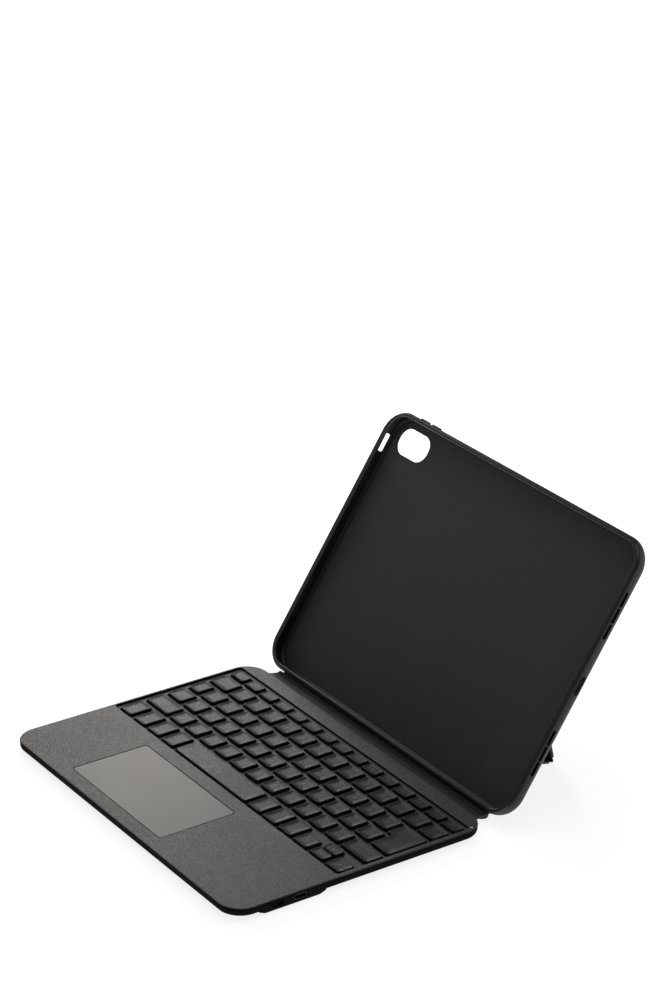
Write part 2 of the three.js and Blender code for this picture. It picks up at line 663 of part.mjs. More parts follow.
// soft skins across the three folds, at rest
const arc = (c, r, a0, a1, n) =>
  Array.from({ length: n + 1 }, (_, i) => {
    const a = THREE.MathUtils.degToRad(a0 + ((a1 - a0) * i) / n);
    return [c[0] + r * Math.cos(a), c[1] + r * Math.sin(a)];
  });
const at = (p, deg, along, off) => {
  const a = THREE.MathUtils.degToRad(deg);
  return [p[0] + along * Math.cos(a) - off * Math.sin(a), p[1] + along * Math.sin(a) + off * Math.cos(a)];
};
const HW = PANEL_W / 2 - 1.5;
place(
  base,
  "fold_skin_lower",
  alongX(sheetOutline([at(P1, upDeg, -FOLD_HALF + 0.35, 0), at(P1, upDeg, -0.7, -0.05), at(P1, lowerDeg, 0.7, 0.05), at(P1, lowerDeg, FOLD_HALF - 0.35, 0)], SKIN_T), -HW, HW),
  M.skin,
);
place(
  base,
  "fold_skin_main",
  alongX(sheetOutline([at(P2, lowerDeg, -FOLD_HALF + 0.35, -0.1), at(P2, lowerDeg, -0.9, -0.2), at(P2, (lowerDeg + mainDeg - 180) / 2 + 90, 0.25, 0), at(P2, mainDeg, 0.9, -0.2), at(P2, mainDeg, FOLD_HALF - 0.35, -0.1)], SKIN_T), -HW, HW),
  M.skin,
);
place(
  base,
  "fold_skin_latch",
  alongX(sheetOutline([at(P3, mainDeg, -FOLD_HALF + 0.35, 0), at(P3, mainDeg, -0.7, 0.02), at(P3, upDeg, 0.7, 0.02), at(P3, upDeg, FOLD_HALF - 0.35, 0)], SKIN_T), -HW, HW),
  M.skin,
);

// ---------------------------------------------------------------- spine
const spineDeg = THREE.MathUtils.radToDeg(Math.atan2(PB[1] - PA[1], PB[0] - PA[0]));
const spineLen = Math.hypot(PB[0] - PA[0], PB[1] - PA[1]);
const spine = panelFrame(PA, spineDeg);
const disc = (y, z, r, n = 12) =>
  alongX(Array.from({ length: n }, (_, i) => {
    const a = (2 * Math.PI * i) / n;
    return [y + r * Math.cos(a), z + r * Math.sin(a)];
  }), -SPINE_W / 2, SPINE_W / 2);
place(
  spine,
  "spine_bar",
  join(
    disc(0, 0, SPINE_BEAD_A),
    disc(spineLen, 0, SPINE_BEAD_B),
    alongX([[0, -SPINE_WEB / 2 - 0.2], [spineLen, -SPINE_WEB / 2 - 0.2], [spineLen, SPINE_WEB / 2 - 0.2], [0, SPINE_WEB / 2 - 0.2]], -SPINE_W / 2, SPINE_W / 2),
  ),
  M.skin,
);
place(
  base,
  "spine_skin_keyboard",
  alongX(sheetOutline([[168.2, 2.15], [178.2, 2.15], [179.8, 2.8], at(PA, spineDeg, 1.6, -1.85), at(PA, spineDeg, 3.4, -1.7)], 0.5), -SPINE_W / 2 + 1, SPINE_W / 2 - 1),
  M.skin,
);
const bEnd = onTray(-0.75, 5.6),
  bEnd2 = onTray(-0.3, 8.0);
place(
  base,
  "spine_skin_tray",
  alongX(sheetOutline([at(PA, spineDeg, 4.1, -1.65), at(PA, spineDeg, 5.6, -1.95), ...arc(PB, SPINE_BEAD_B + 0.65, 250, 330, 4), bEnd, bEnd2], 0.5), -SPINE_W / 2 + 1, SPINE_W / 2 - 1),
  M.skin,
);

// fold lines and angles, for whoever drives the joints
export const KINEMATICS = { ORIGIN_Y, P1, P2, P3, PA, PB, upDeg, lowerDeg, mainDeg, spineDeg, spineLen, LC, LB, back, up, TRAY_Y, TRAY_Z, KEY_TRAVEL, SWITCH_TRAVEL };

export default object;
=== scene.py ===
"""Tablet keyboard case, open for typing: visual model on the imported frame."""
import json
import math

import bmesh
import bpy
import numpy as np
from mathutils import Matrix, Vector

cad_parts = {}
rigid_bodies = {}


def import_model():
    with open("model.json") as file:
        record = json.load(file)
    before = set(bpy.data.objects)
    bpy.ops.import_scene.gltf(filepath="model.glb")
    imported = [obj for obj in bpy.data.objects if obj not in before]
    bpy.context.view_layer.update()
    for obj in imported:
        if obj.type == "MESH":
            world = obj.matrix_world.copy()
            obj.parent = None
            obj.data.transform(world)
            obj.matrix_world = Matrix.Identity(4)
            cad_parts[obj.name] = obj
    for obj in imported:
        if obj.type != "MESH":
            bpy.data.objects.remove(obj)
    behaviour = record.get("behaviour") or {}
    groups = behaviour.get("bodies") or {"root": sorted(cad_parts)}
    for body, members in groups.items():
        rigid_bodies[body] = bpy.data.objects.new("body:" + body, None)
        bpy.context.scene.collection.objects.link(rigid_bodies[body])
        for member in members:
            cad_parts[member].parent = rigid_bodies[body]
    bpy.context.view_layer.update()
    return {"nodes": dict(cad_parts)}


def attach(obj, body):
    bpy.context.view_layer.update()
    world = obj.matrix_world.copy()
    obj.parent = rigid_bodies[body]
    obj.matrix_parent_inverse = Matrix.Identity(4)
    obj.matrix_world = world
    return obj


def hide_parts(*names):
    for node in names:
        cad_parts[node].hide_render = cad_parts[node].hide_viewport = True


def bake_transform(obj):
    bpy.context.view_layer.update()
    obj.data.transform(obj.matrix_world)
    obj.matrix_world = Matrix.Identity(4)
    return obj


for o in list(bpy.data.objects):
    bpy.data.objects.remove(o)
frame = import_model()
scene = bpy.context.scene

# ------------------------------------------------------------------ dimensions, millimetres
OY = 147.1
HX, KB_D, KB_R = 125.5, 178.3, 15.0
DECK_TOP, SHELL_BOTTOM, SHELL_TOP = 8.0, 2.6, 6.4
BAY_Y0, BAY_Y1, BAY_BOTTOM, BAY_CH = 18.5, 63.3, 0.4, 5.0
WELL = (-123.7, 122.0, 73.0, 167.6)
PAD = (-68.4, 31.4, 10.3, 62.9)
PORT_Z, USB_Y = 4.2, 46.2
SW0, SW1 = 26.5, 34.5
LED = (121.9, 168.9)
KEY_TOP = 8.5
TW, TH, TR, TT = 255.0, 184.0, 17.5, 11.0
TROUND = 7.4
LIP = 1.8
LEAN = 33.24
TY, TZ = 187.01, 7.67
CAM = (-118.8, -88.3, 157.6, 175.6)
CAM_R = 8.6
PW = 153.8
P1, P2, P3 = (205.91523894289878, 16.08379465591495), (265.5291904232262, 0.97), (246.13245835311875, 77.44860344567273)
PA, PB = (180.3, 5.0), (188.70542118991062, 3.6893534458831914)
UPD, LOWD, MAIND, SPD = 56.76, -14.226323777198365, 104.23144764307294, -8.86268889861724
SPLEN, LC, LB = 8.506991228960835, 61.5, 78.9
ZI = 0.6
FH = 2.25
ZO = ZI - 2.2

ROWS = {}


def series(x, w, p, n):
    return [(x + i * p, x + i * p + w) for i in range(n)]


ROWS["function_row"] = ((156.35, 164.75), series(-119.35, 13.9, 16.19, 15))
ROWS["number_row"] = ((140.65, 153.95), [(-119.6, -100.65)] + series(-97.75, 14.2, 17.07, 12) + [(106.45, 121.25)])
ROWS["upper_letter_row"] = ((124.95, 138.25), [(-119.7, -108.55)] + series(-105.65, 14.1, 17.09, 12))
ROWS["home_letter_row"] = ((109.35, 122.45), [(-119.7, -104.45)] + series(-101.55, 14.2, 17.1, 12))
ROWS["lower_letter_row"] = ((93.65, 106.75), [(-119.7, -94.85)] + series(-92.25, 13.9, 17.11, 11) + [(95.55, 121.25)])
ROWS["bottom_row"] = ((74.35, 90.85), series(-119.75, 13.2, 16.25, 4) + [(-54.75, 23.25)] + series(25.6, 13.6, 16.2, 3))
ENTER = ((98.55, 121.25), (103.35, 121.25), (109.35, 138.25), 124.6)
ARROWS = {
    "left": (74.25, 88.15, 74.35, 86.35),
    "up": (91.25, 104.85, 83.05, 90.85),
    "down": (91.25, 104.85, 74.35, 82.65),
    "right": (107.75, 121.4, 74.35, 86.35),
}


# ------------------------------------------------------------------ frames
def frame_of(p, deg):
    return Matrix.Translation((0, (p[0] - OY) / 1000, p[1] / 1000)) @ Matrix.Rotation(math.radians(deg), 4, "X") @ Matrix.Scale(0.001, 4)


KB = frame_of((0, 0), 0)
TRAY = frame_of((TY, TZ), 90 - LEAN)
LOWER = frame_of(P1, LOWD)
MAIN = frame_of(P2, MAIND)
LATCH = frame_of(P3, UPD)
SPINE = frame_of(PA, SPD)


# ------------------------------------------------------------------ mesh helpers
def rr(x0, x1, y0, y1, r, seg=8):
    pts = []
    r = max(min(r, (x1 - x0) / 2 - 1e-3, (y1 - y0) / 2 - 1e-3), 0.02)
    for cx, cy, a0 in ((x1 - r, y0 + r, -90), (x1 - r, y1 - r, 0), (x0 + r, y1 - r, 90), (x0 + r, y0 + r, 180)):
        for i in range(seg + 1):
            a = math.radians(a0 + 90 * i / seg)
            pts.append((cx + r * math.cos(a), cy + r * math.sin(a)))
    return pts


def loft(levels, cap0=True, cap1=True):
    """levels: [(outline, z)] low to high; outlines run anticlockwise and have one length."""
    n = len(levels[0][0])
    verts, faces = [], []
    for pts, z in levels:
        for p in pts:
            verts.append((p[0], p[1], z if not callable(z) else z(p)))
    for lv in range(len(levels) - 1):
        for i in range(n):
            j = (i + 1) % n
            faces.append((lv * n + i, lv * n + j, (lv + 1) * n + j, (lv + 1) * n + i))
    if cap0:
        faces.append(tuple(reversed(range(n))))
    if cap1:
        faces.append(tuple(range((len(levels) - 1) * n, len(levels) * n)))
    return verts, faces


def rloft(x0, x1, y0, y1, r, levels, seg=8, **kw):
    return loft([(rr(x0 + d, x1 - d, y0 + d, y1 - d, r - d, seg), z) for z, d in levels], **kw)


def boxm(x0, x1, y0, y1, z0, z1):
    return loft([([(x0, y0), (x1, y0), (x1, y1), (x0, y1)], z0), ([(x0, y0), (x1, y0), (x1, y1), (x0, y1)], z1)])


def cyl(x, y, z0, z1, r, n=32, r1=None):
    r1 = r if r1 is None else r1
    ring = lambda q: [(x + q * math.cos(2 * math.pi * i / n), y + q * math.sin(2 * math.pi * i / n)) for i in range(n)]
    return loft([(ring(r), z0), (ring(r1), z1)])


def along_x(pts, x0, x1, nx=1):
    """pts: outline in the Y-Z plane, anticlockwise seen from +X."""
    n = len(pts)
    verts, faces = [], []
    for k in range(nx + 1):
        x = x0 + (x1 - x0) * k / nx
        verts += [(x, y, z) for y, z in pts]
    for k in range(nx):
        for i in range(n):
            j = (i + 1) % n
            faces.append((k * n + i, k * n + j, (k + 1) * n + j, (k + 1) * n + i))
    faces.append(tuple(reversed(range(n))))
    faces.append(tuple(range(nx * n, nx * n + n)))
    return verts, faces


def turn_x(vf):
    """The lofted body's x, y, z become y, z, x."""
    v, f = vf
    return [(z, x, y) for x, y, z in v], f


def merge(*parts):
    verts, faces = [], []
    for v, f in parts:
        b = len(verts)
        verts += list(v)
        faces += [tuple(i + b for i in q) for q in f]
    return verts, faces


def make(name, vf, mat4=KB):
    me = bpy.data.meshes.new(name)
    me.from_pydata([mat4 @ Vector(v) for v in vf[0]], [], vf[1])
    bm = bmesh.new()
    bm.from_mesh(me)
    bmesh.ops.recalc_face_normals(bm, faces=bm.faces)
    bm.to_mesh(me)
    bm.free()
    o = bpy.data.objects.new(name, me)
    scene.collection.objects.link(o)
    return o


def bake(o):
    """Applies the object's modifiers to its mesh."""
    dg = bpy.context.evaluated_depsgraph_get()
    me = bpy.data.meshes.new_from_object(o.evaluated_get(dg))
    o.modifiers.clear()
    old = o.data
    o.data = me
    bpy.data.meshes.remove(old)
    me.name = o.name
    return o


# Booleans are done in millimetres about the origin, so that small gaps stay exact.
def solid(name, vf):
    return make(name, vf, Matrix.Identity(4))


def carve(o, *cutters, op="DIFFERENCE"):
    for i, c in enumerate(cutters):
        k = solid("cutter", c)
        m = o.modifiers.new("b", "BOOLEAN")
        m.operation = op
        m.solver = "EXACT"
        m.object = k
        bpy.context.view_layer.update()
        bake(o)
        kd = k.data
        bpy.data.objects.remove(k)
        bpy.data.meshes.remove(kd)
    return o


def finish_mesh(o, mat4, angle=38, weighted=True):
    o.data.transform(mat4)
    bm = bmesh.new()
    bm.from_mesh(o.data)
    bmesh.ops.remove_doubles(bm, verts=bm.verts, dist=2e-7)
    bmesh.ops.dissolve_degenerate(bm, dist=1e-7, edges=bm.edges)
    bm.to_mesh(o.data)
    bm.free()
    shade(o, angle, weighted)
    return o


def shade(o, angle=38, weighted=True):
    me = o.data
    me.polygons.foreach_set("use_smooth", [True] * len(me.polygons))
    me.set_sharp_from_angle(angle=math.radians(angle))
    if weighted:
        w = o.modifiers.new("wn", "WEIGHTED_NORMAL")
        w.keep_sharp = True
        w.weight = 80
    me.update()
    return o


def put(o, body, material, cad=()):
    o.data.materials.clear()
    o.data.materials.append(material)
    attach(o, body)
    if cad:
        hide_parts(*cad)
    return o


# ------------------------------------------------------------------ materials
class Nodes:
    def __init__(self, name):
        self.m = bpy.data.materials.new(name)
        self.m.use_nodes = True
        self.t = self.m.node_tree
        self.b = self.t.nodes["Principled BSDF"]
        self.co = self.t.nodes.new("ShaderNodeTexCoord")

    def node(self, kind, **kw):
        n = self.t.nodes.new(kind)
        for k, v in kw.items():
            setattr(n, k, v)
        return n

    def link(self, a, b):
        self.t.links.new(a, b)

    def noise(self, scale, detail=2.0, rough=0.5, vec=None, dist=0.0):
        n = self.node("ShaderNodeTexNoise")
        n.inputs["Scale"].default_value = scale
        n.inputs["Detail"].default_value = detail
        n.inputs["Roughness"].default_value = rough
        n.inputs["Distortion"].default_value = dist
        self.link(vec or self.co.outputs["Object"], n.inputs["Vector"])
        return n.outputs["Fac"]

    def voronoi(self, scale, vec=None, feature="F1", rnd=1.0):
        n = self.node("ShaderNodeTexVoronoi", feature=feature)
        n.inputs["Scale"].default_value = scale
        n.inputs["Randomness"].default_value = rnd
        self.link(vec or self.co.outputs["Object"], n.inputs["Vector"])
        return n.outputs["Distance"]

    def ramp(self, src, stops):
        n = self.node("ShaderNodeValToRGB")
        e = n.color_ramp.elements
        while len(e) > 1:
            e.remove(e[-1])
        e[0].position, e[0].color = stops[0][0], (*stops[0][1], 1)
        for p, c in stops[1:]:
            q = e.new(p)
            q.color = (*c, 1)
        self.link(src, n.inputs["Fac"])
        return n.outputs["Color"]

    def rng(self, src, a, b, c, d):
        n = self.node("ShaderNodeMapRange")
        for k, v in zip(("From Min", "From Max", "To Min", "To Max"), (a, b, c, d)):
            n.inputs[k].default_value = v
        self.link(src, n.inputs["Value"])
        return n.outputs["Result"]

    def math(self, op, a, b):
        n = self.node("ShaderNodeMath", operation=op)
        for i, v in enumerate((a, b)):
            if isinstance(v, (int, float)):
                n.inputs[i].default_value = v
            else:
                self.link(v, n.inputs[i])
        return n.outputs[0]

    def mix(self, fac, a, b, blend="MIX"):
        n = self.node("ShaderNodeMix", data_type="RGBA", blend_type=blend)
        for s, v in (("Factor", fac), ("A", a), ("B", b)):
            sock = [i for i in n.inputs if i.name == s and i.enabled][0]
            if isinstance(v, (int, float)):
                sock.default_value = v
            elif isinstance(v, tuple):
                sock.default_value = (*v, 1)
            else:
                self.link(v, sock)
        return [x for x in n.outputs if x.enabled][0]

    def bump(self, height, strength, dist, normal=None):
        n = self.node("ShaderNodeBump")
        n.inputs["Strength"].default_value = strength
        n.inputs["Distance"].default_value = dist
        self.link(height, n.inputs["Height"])
        if normal:
            self.link(normal, n.inputs["Normal"])
        return n.outputs["Normal"]

    def stretch(self, sx, sy, sz, space="Object"):
        n = self.node("ShaderNodeMapping")
        n.inputs["Scale"].default_value = (sx, sy, sz)
        self.link(self.co.outputs[space], n.inputs["Vector"])
        return n.outputs["Vector"]

    def done(self, color=None, rough=None, normal=None, **values):
        if color is not None:
            if isinstance(color, tuple):
                self.b.inputs["Base Color"].default_value = (*color, 1)
            else:
                self.link(color, self.b.inputs["Base Color"])
        if rough is not None:
            if isinstance(rough, (int, float)):
                self.b.inputs["Roughness"].default_value = rough
            else:
                self.link(rough, self.b.inputs["Roughness"])
        if normal is not None:
            self.link(normal, self.b.inputs["Normal"])
        for k, v in values.items():
            self.b.inputs[k.replace("_", " ")].default_value = v
        return self.m


def shades(c, k):
    return tuple(x * k for x in c)


def plastic(name, c, rough, grain=2600, amount=0.25, depth=0.00004, spread=0.12, wear=0.1, spec=0.5):
    """Moulded plastic with a fine etched texture, a little cloudiness and duller and shinier patches."""
    n = Nodes(name)
    fine = n.noise(grain, 2.0, 0.6)
    mid = n.noise(grain / 9, 3.0, 0.55)
    cloud = n.noise(22, 4.0, 0.6)
    col = n.ramp(cloud, [(0.25, shades(c, 1 - spread)), (0.75, shades(c, 1 + spread))])
    col = n.mix(n.rng(fine, 0.35, 0.7, 0.0, 0.35), col, shades(c, 1.45))
    speck = n.noise(grain * 0.5, 3.0, 0.8)
    r = n.math("ADD", n.rng(n.noise(60, 5.0, 0.65), 0.3, 0.7, rough - wear / 4, rough + wear / 4), n.rng(speck, 0.3, 0.7, 0.25 * amount, -0.22 * amount))
    nm = n.bump(n.math("ADD", fine, n.math("MULTIPLY", mid, 0.6)), amount, depth)
    return n.done(col, r, nm, Specular_IOR_Level=spec)


def leather(name, c, rough, scale=1500, amount=0.35, depth=0.00009, spec=0.5, spread=0.12):
    """Fine grained polyurethane skin: small pebbles with creases between, the creases painted darker as painted shade.
    """
    n = Nodes(name)
    warp = n.node("ShaderNodeMapping")
    n.link(n.co.outputs["Object"], warp.inputs["Vector"])
    v1 = n.voronoi(scale, feature="SMOOTH_F1")
    v2 = n.voronoi(scale * 2.3)
    g = n.math("ADD", n.math("MULTIPLY", v1, 1.2), n.math("MULTIPLY", v2, 0.5))
    nz = n.noise(scale * 1.7, 3.0, 0.6)
    h = n.math("ADD", n.math("SUBTRACT", 1.0, g), n.math("MULTIPLY", nz, 0.35))
    cloud = n.noise(16, 4.0, 0.6)
    col = n.ramp(cloud, [(0.3, shades(c, 1 - spread)), (0.7, shades(c, 1 + spread))])
    # creases between the pebbles are coloured darker: painted shade
    col = n.mix(n.rng(g, 0.45, 1.0, 0.0, 0.55), col, shades(c, 0.55))
    grain = n.noise(scale * 0.62, 3.0, 0.8)
    col = n.mix(n.rng(grain, 0.38, 0.72, 0.0, 0.8), col, shades(c, 2.0))
    r = n.math("ADD", n.rng(n.noise(26, 3.0, 0.5), 0.3, 0.7, rough - 0.015, rough + 0.015), n.rng(grain, 0.3, 0.7, 0.13, -0.11))
    return n.done(col, r, n.bump(n.math("ADD", h, n.math("MULTIPLY", grain, 1.6)), amount, depth), Specular_IOR_Level=spec)


def weave(name, c, rough, sx, sy, amount=0.6, depth=0.0002):
    """Ribbed woven elastic: rows of ribs with crossing threads; the colour follows the rib height, painted shade in the
    grooves and painted highlight on the crests.
    """
    n = Nodes(name)
    uv = n.stretch(1, 1, 1)
    sep = n.node("ShaderNodeSeparateXYZ")
    n.link(uv, sep.inputs[0])
    long_axis = n.math("ADD", sep.outputs["Y"], n.math("MULTIPLY", sep.outputs["Z"], 1.0))
    ribs = n.math("SINE", n.math("MULTIPLY", sep.outputs["X"], sx), 0)
    cross = n.math("SINE", n.math("MULTIPLY", long_axis, sy), 0)
    pat = n.math("MULTIPLY", n.rng(ribs, -1, 1, 0.15, 1.0), n.rng(cross, -1, 1, 0.45, 1.0))
    fuzz = n.noise(4200, 3.0, 0.7)
    pat2 = n.math("ADD", pat, n.math("MULTIPLY", fuzz, 0.35))
    # colour tied to the rib pattern, dark in the grooves and light on the crests: painted shade and painted highlight
    col = n.ramp(pat2, [(0.1, shades(c, 0.3)), (0.55, c), (1.1, shades(c, 1.45))])
    return n.done(col, rough, n.bump(pat2, amount, depth), Sheen_Weight=0.25, Sheen_Roughness=0.5, Specular_IOR_Level=0.25)


def cloth(name, c):
    """Short brushed microfibre."""
    n = Nodes(name)
    nap = n.noise(3200, 4.0, 0.75)
    lay = n.noise(38, 4.0, 0.55)
    col = n.ramp(lay, [(0.3, shades(c, 0.93)), (0.7, shades(c, 1.08))])
    col = n.mix(n.rng(nap, 0.3, 0.75, 0.0, 0.6), col, shades(c, 1.8))
    return n.done(col, 0.95, n.bump(nap, 0.5, 0.00012), Sheen_Weight=0.6, Sheen_Roughness=0.45, Specular_IOR_Level=0.1)


def metal(name, c, rough, brushed=True):
    n = Nodes(name)
    vec = n.stretch(60, 2500, 2500) if brushed else n.stretch(900, 900, 900)
    z = n.noise(1.0, 3.0, 0.6, vec=vec)
    col = n.ramp(z, [(0.3, shades(c, 0.86)), (0.7, c)])
    return n.done(col, n.rng(z, 0.3, 0.7, rough, rough + 0.12), n.bump(z, 0.15, 0.00002), Metallic=1.0)


DECK = leather("deck_skin", (0.0245, 0.0228, 0.0212), 0.46, 1150, 0.85, 0.00014, 0.5, 0.05)
GRID = plastic("key_floor_skin", (0.017, 0.0163, 0.0155), 0.55, 2600, 0.2, 0.00004, 0.08)
SHELLM = plastic("shell_plastic", (0.0042, 0.0041, 0.0042), 0.8, 2200, 0.35, 0.00006, 0.1, 0.08, 0.07)
DECK_SIDE_PAINTED_SHADE = leather("deck_side_painted_shade", (0.005, 0.0047, 0.0045), 0.72, 1150, 0.6, 0.0001, 0.1, 0.05)
CAP = plastic("keycap_plastic", (0.0095, 0.0089, 0.0084), 0.46, 1500, 0.6, 0.00009, 0.05, 0.06, 0.3)
CAP_SIDE_PAINTED_SHADE = plastic("keycap_side_painted_shade", (0.006, 0.006, 0.006), 0.7, 3000, 0.16, 0.00003, 0.1, 0.1, 0.2)
BLACK_PLASTIC_AND_PAINTED_SHADE = plastic("black_plastic_and_painted_shade", (0.004, 0.004, 0.004), 0.85, 2400, 0.2, 0.00004, 0.1, 0.1, 0.1)
LEGEND = plastic("legend_print", (0.19, 0.185, 0.18), 0.5, 3000, 0.1, 0.00002, 0.1, 0.05)
PADM = plastic("trackpad_satin", (0.072, 0.069, 0.066), 0.45, 3800, 0.06, 0.00002, 0.02, 0.04, 0.5)
RUBBER = plastic("foot_rubber", (0.016, 0.016, 0.016), 0.85, 1800, 0.5, 0.00008, 0.2, 0.1, 0.3)
TRAYM = plastic("tray_elastomer", (0.0115, 0.0116, 0.0122), 0.5, 2400, 0.3, 0.00005, 0.08, 0.08, 0.34)
TRAY_LIP_PAINTED_HIGHLIGHT = plastic("tray_lip_painted_highlight", (0.05, 0.05, 0.052), 0.34, 2400, 0.15, 0.00003, 0.08, 0.08, 0.6)
TRAYIN = plastic("tray_elastomer_inside", (0.012, 0.012, 0.0125), 0.65, 2400, 0.3, 0.00005, 0.08, 0.08, 0.3)
BACKM = plastic("tray_back_soft_touch", (0.0245, 0.026, 0.031), 0.6, 2100, 0.4, 0.00006, 0.1, 0.08, 0.4)
PANEL = leather("panel_skin", (0.028, 0.0282, 0.0305), 0.6, 1700, 0.5, 0.0001, 0.45)
SKIN = leather("fold_skin", (0.017, 0.017, 0.018), 0.6, 1700, 0.45, 0.00009, 0.4)
LINE = cloth("lining_microfibre", (0.024, 0.025, 0.028))
LOOP = weave("loop_weave", (0.075, 0.075, 0.077), 0.85, 2 * math.pi / 0.0011, 2 * math.pi / 0.0008)
STEEL = metal("steel_brushed", (0.62, 0.62, 0.63), 0.28)
NICKEL = metal("magnet_nickel", (0.66, 0.66, 0.68), 0.18, False)
SOCKET_STEEL_PAINTED_SHADE = metal("socket_steel_painted_shade", (0.11, 0.11, 0.115), 0.35, False)


def board_green():
    n = Nodes("circuit_board")
    tr = n.voronoi(700, feature="F1", rnd=0.35)
    col = n.ramp(tr, [(0.18, (0.03, 0.16, 0.06)), (0.24, (0.012, 0.085, 0.03))])
    return n.done(col, 0.35, n.bump(tr, 0.3, 0.00005), Coat_Weight=0.5)


def foil():
    n = Nodes("cell_foil")
    z = n.noise(260, 4.0, 0.6)
    col = n.ramp(z, [(0.3, (0.42, 0.44, 0.46)), (0.7, (0.55, 0.57, 0.6))])
    return n.done(col, n.rng(z, 0.3, 0.7, 0.3, 0.5), n.bump(z, 0.4, 0.0003), Metallic=0.7)


def light_window():
    n = Nodes("status_light")
    z = n.noise(2500, 2.0, 0.5)
    col = n.ramp(z, [(0.3, (0.9, 0.93, 0.96)), (0.7, (1.0, 1.0, 1.0))])
    m = n.done(col, 0.25, n.bump(z, 0.05, 0.00001), Emission_Strength=0.55)
    n.b.inputs["Emission Color"].default_value = (1, 1, 1, 1)
    return m


PCB, FOIL, LIGHT = board_green(), foil(), light_window()

# ------------------------------------------------------------------ keyboard deck and shell
deck = solid("keyboard_deck", rloft(-HX, HX, 0, KB_D, KB_R, [
    (DECK_TOP - 1.3, 0.3), (DECK_TOP - 1.2, 0.12), (DECK_TOP - 1.05, 0.02), (DECK_TOP - 0.9, 0.0), (DECK_TOP - 0.6, 0.05), (DECK_TOP - 0.36, 0.17),
    (DECK_TOP - 0.18, 0.34), (DECK_TOP - 0.06, 0.54), (DECK_TOP, 0.78)], 20))
wx0, wx1, wy0, wy1 = WELL
deck = carve(
    deck,
    rloft(wx0, wx1, wy0, wy1, 2.2, [(5.5, 0), (DECK_TOP - 0.2, 0), (DECK_TOP - 0.05, -0.06), (DECK_TOP + 0.02, -0.16), (9, -0.16)], 8),
    rloft(PAD[0] - 0.3, PAD[1] + 0.3, PAD[2] - 0.3, PAD[3] + 0.3, 2.6, [(5.5, 0), (DECK_TOP - 0.2, 0), (DECK_TOP - 0.05, -0.06), (DECK_TOP + 0.02, -0.16), (9, -0.16)], 8),
    cyl(LED[0], LED[1], 5.5, 9, 0.56, 32),
)
finish_mesh(deck, KB)
put(deck, "keyboard", DECK, ["keyboard_top_deck"])
# the deck's side walls and the walls of its cut-outs get a much darker copy of the skin: painted shade
deck.data.materials.append(DECK_SIDE_PAINTED_SHADE)
for f in deck.data.polygons:
    if f.center.z * 1000 < DECK_TOP - 0.3:
        f.material_index = 1

shell = solid("keyboard_shell", rloft(-HX, HX, 0, KB_D, KB_R, [
    (SHELL_BOTTOM, 1.9), (SHELL_BOTTOM + 0.12, 1.35), (SHELL_BOTTOM + 0.45, 0.85), (SHELL_BOTTOM + 0.95, 0.45), (SHELL_BOTTOM + 1.7, 0.2),
    (SHELL_TOP - 0.25, 0.12), (SHELL_TOP - 0.08, 0.2), (SHELL_TOP, 0.38)], 20))
bay = solid("bay", along_x([
    (BAY_Y0 - 0.4, SHELL_BOTTOM + 1.6), (BAY_Y0 - 0.4, SHELL_BOTTOM + 0.25), (BAY_Y0 + 0.2, SHELL_BOTTOM - 0.05), (BAY_Y0 + BAY_CH - 0.9, BAY_BOTTOM + 0.42),
    (BAY_Y0 + BAY_CH - 0.3, BAY_BOTTOM + 0.1), (BAY_Y0 + BAY_CH + 0.4, BAY_BOTTOM),
    (BAY_Y1 - BAY_CH - 0.4, BAY_BOTTOM), (BAY_Y1 - BAY_CH + 0.3, BAY_BOTTOM + 0.1), (BAY_Y1 - BAY_CH + 0.9, BAY_BOTTOM + 0.42), (BAY_Y1 - 0.2, SHELL_BOTTOM - 0.05),
    (BAY_Y1 + 0.4, SHELL_BOTTOM + 0.25), (BAY_Y1 + 0.4, SHELL_BOTTOM + 1.6)], -HX - 1, HX + 1))
carve(bay, rloft(-HX, HX, 0, KB_D, KB_R, [(0, 1.7), (BAY_BOTTOM + 0.08, 1.2), (BAY_BOTTOM + 0.35, 0.8), (BAY_BOTTOM + 0.9, 0.45), (SHELL_BOTTOM, 0.25), (SHELL_TOP, 0.15)], 20), op="INTERSECT")
bv = ([tuple(v.co) for v in bay.data.vertices], [tuple(p.vertices) for p in bay.data.polygons])
bpy.data.objects.remove(bay)
carve(shell, bv, op="UNION")
BOSS = [(-113, 9), (113, 9), (-104, 173.2), (104, 173.2)]
carve(
    shell,
    rloft(-HX, HX, 0, KB_D, KB_R, [(3.4, 2.0), (7.5, 1.6)], 12),
    along_x([(BAY_Y0 + 1.4, 3.6), (BAY_Y0 + 5.4, 1.3), (BAY_Y1 - 5.4, 1.3), (BAY_Y1 - 1.4, 3.6)], -HX + 2.2, HX - 2.2),
    turn_x(rloft(USB_Y - 4.75, USB_Y + 4.75, PORT_Z - 1.9, PORT_Z + 1.9, 1.85, [(HX - 6, 0.05), (HX - 0.75, 0.05), (HX - 0.3, -0.08), (HX + 1, -0.3)], 10)),
    turn_x(rloft(SW0, SW1, PORT_Z - 1.25, PORT_Z + 1.25, 1.2, [(HX - 6, 0), (HX - 0.75, 0), (HX - 0.3, -0.1), (HX + 1, -0.3)], 10)),
    merge(*[cyl(x, y, 1.2, 4.2, 1.25, 24) for x, y in BOSS]),
    merge(*[cyl(x, y, 1.9, 3.1, 2.45, 32) for x, y in BOSS]),
    # pressed seat of the front strip
    rloft(-96.5, 96.5, 36.7, 45.3, 4.1, [(0.0, 0), (0.6, 0)], 10),
)
finish_mesh(shell, KB)
put(shell, "keyboard", SHELLM, ["keyboard_bottom_shell"])

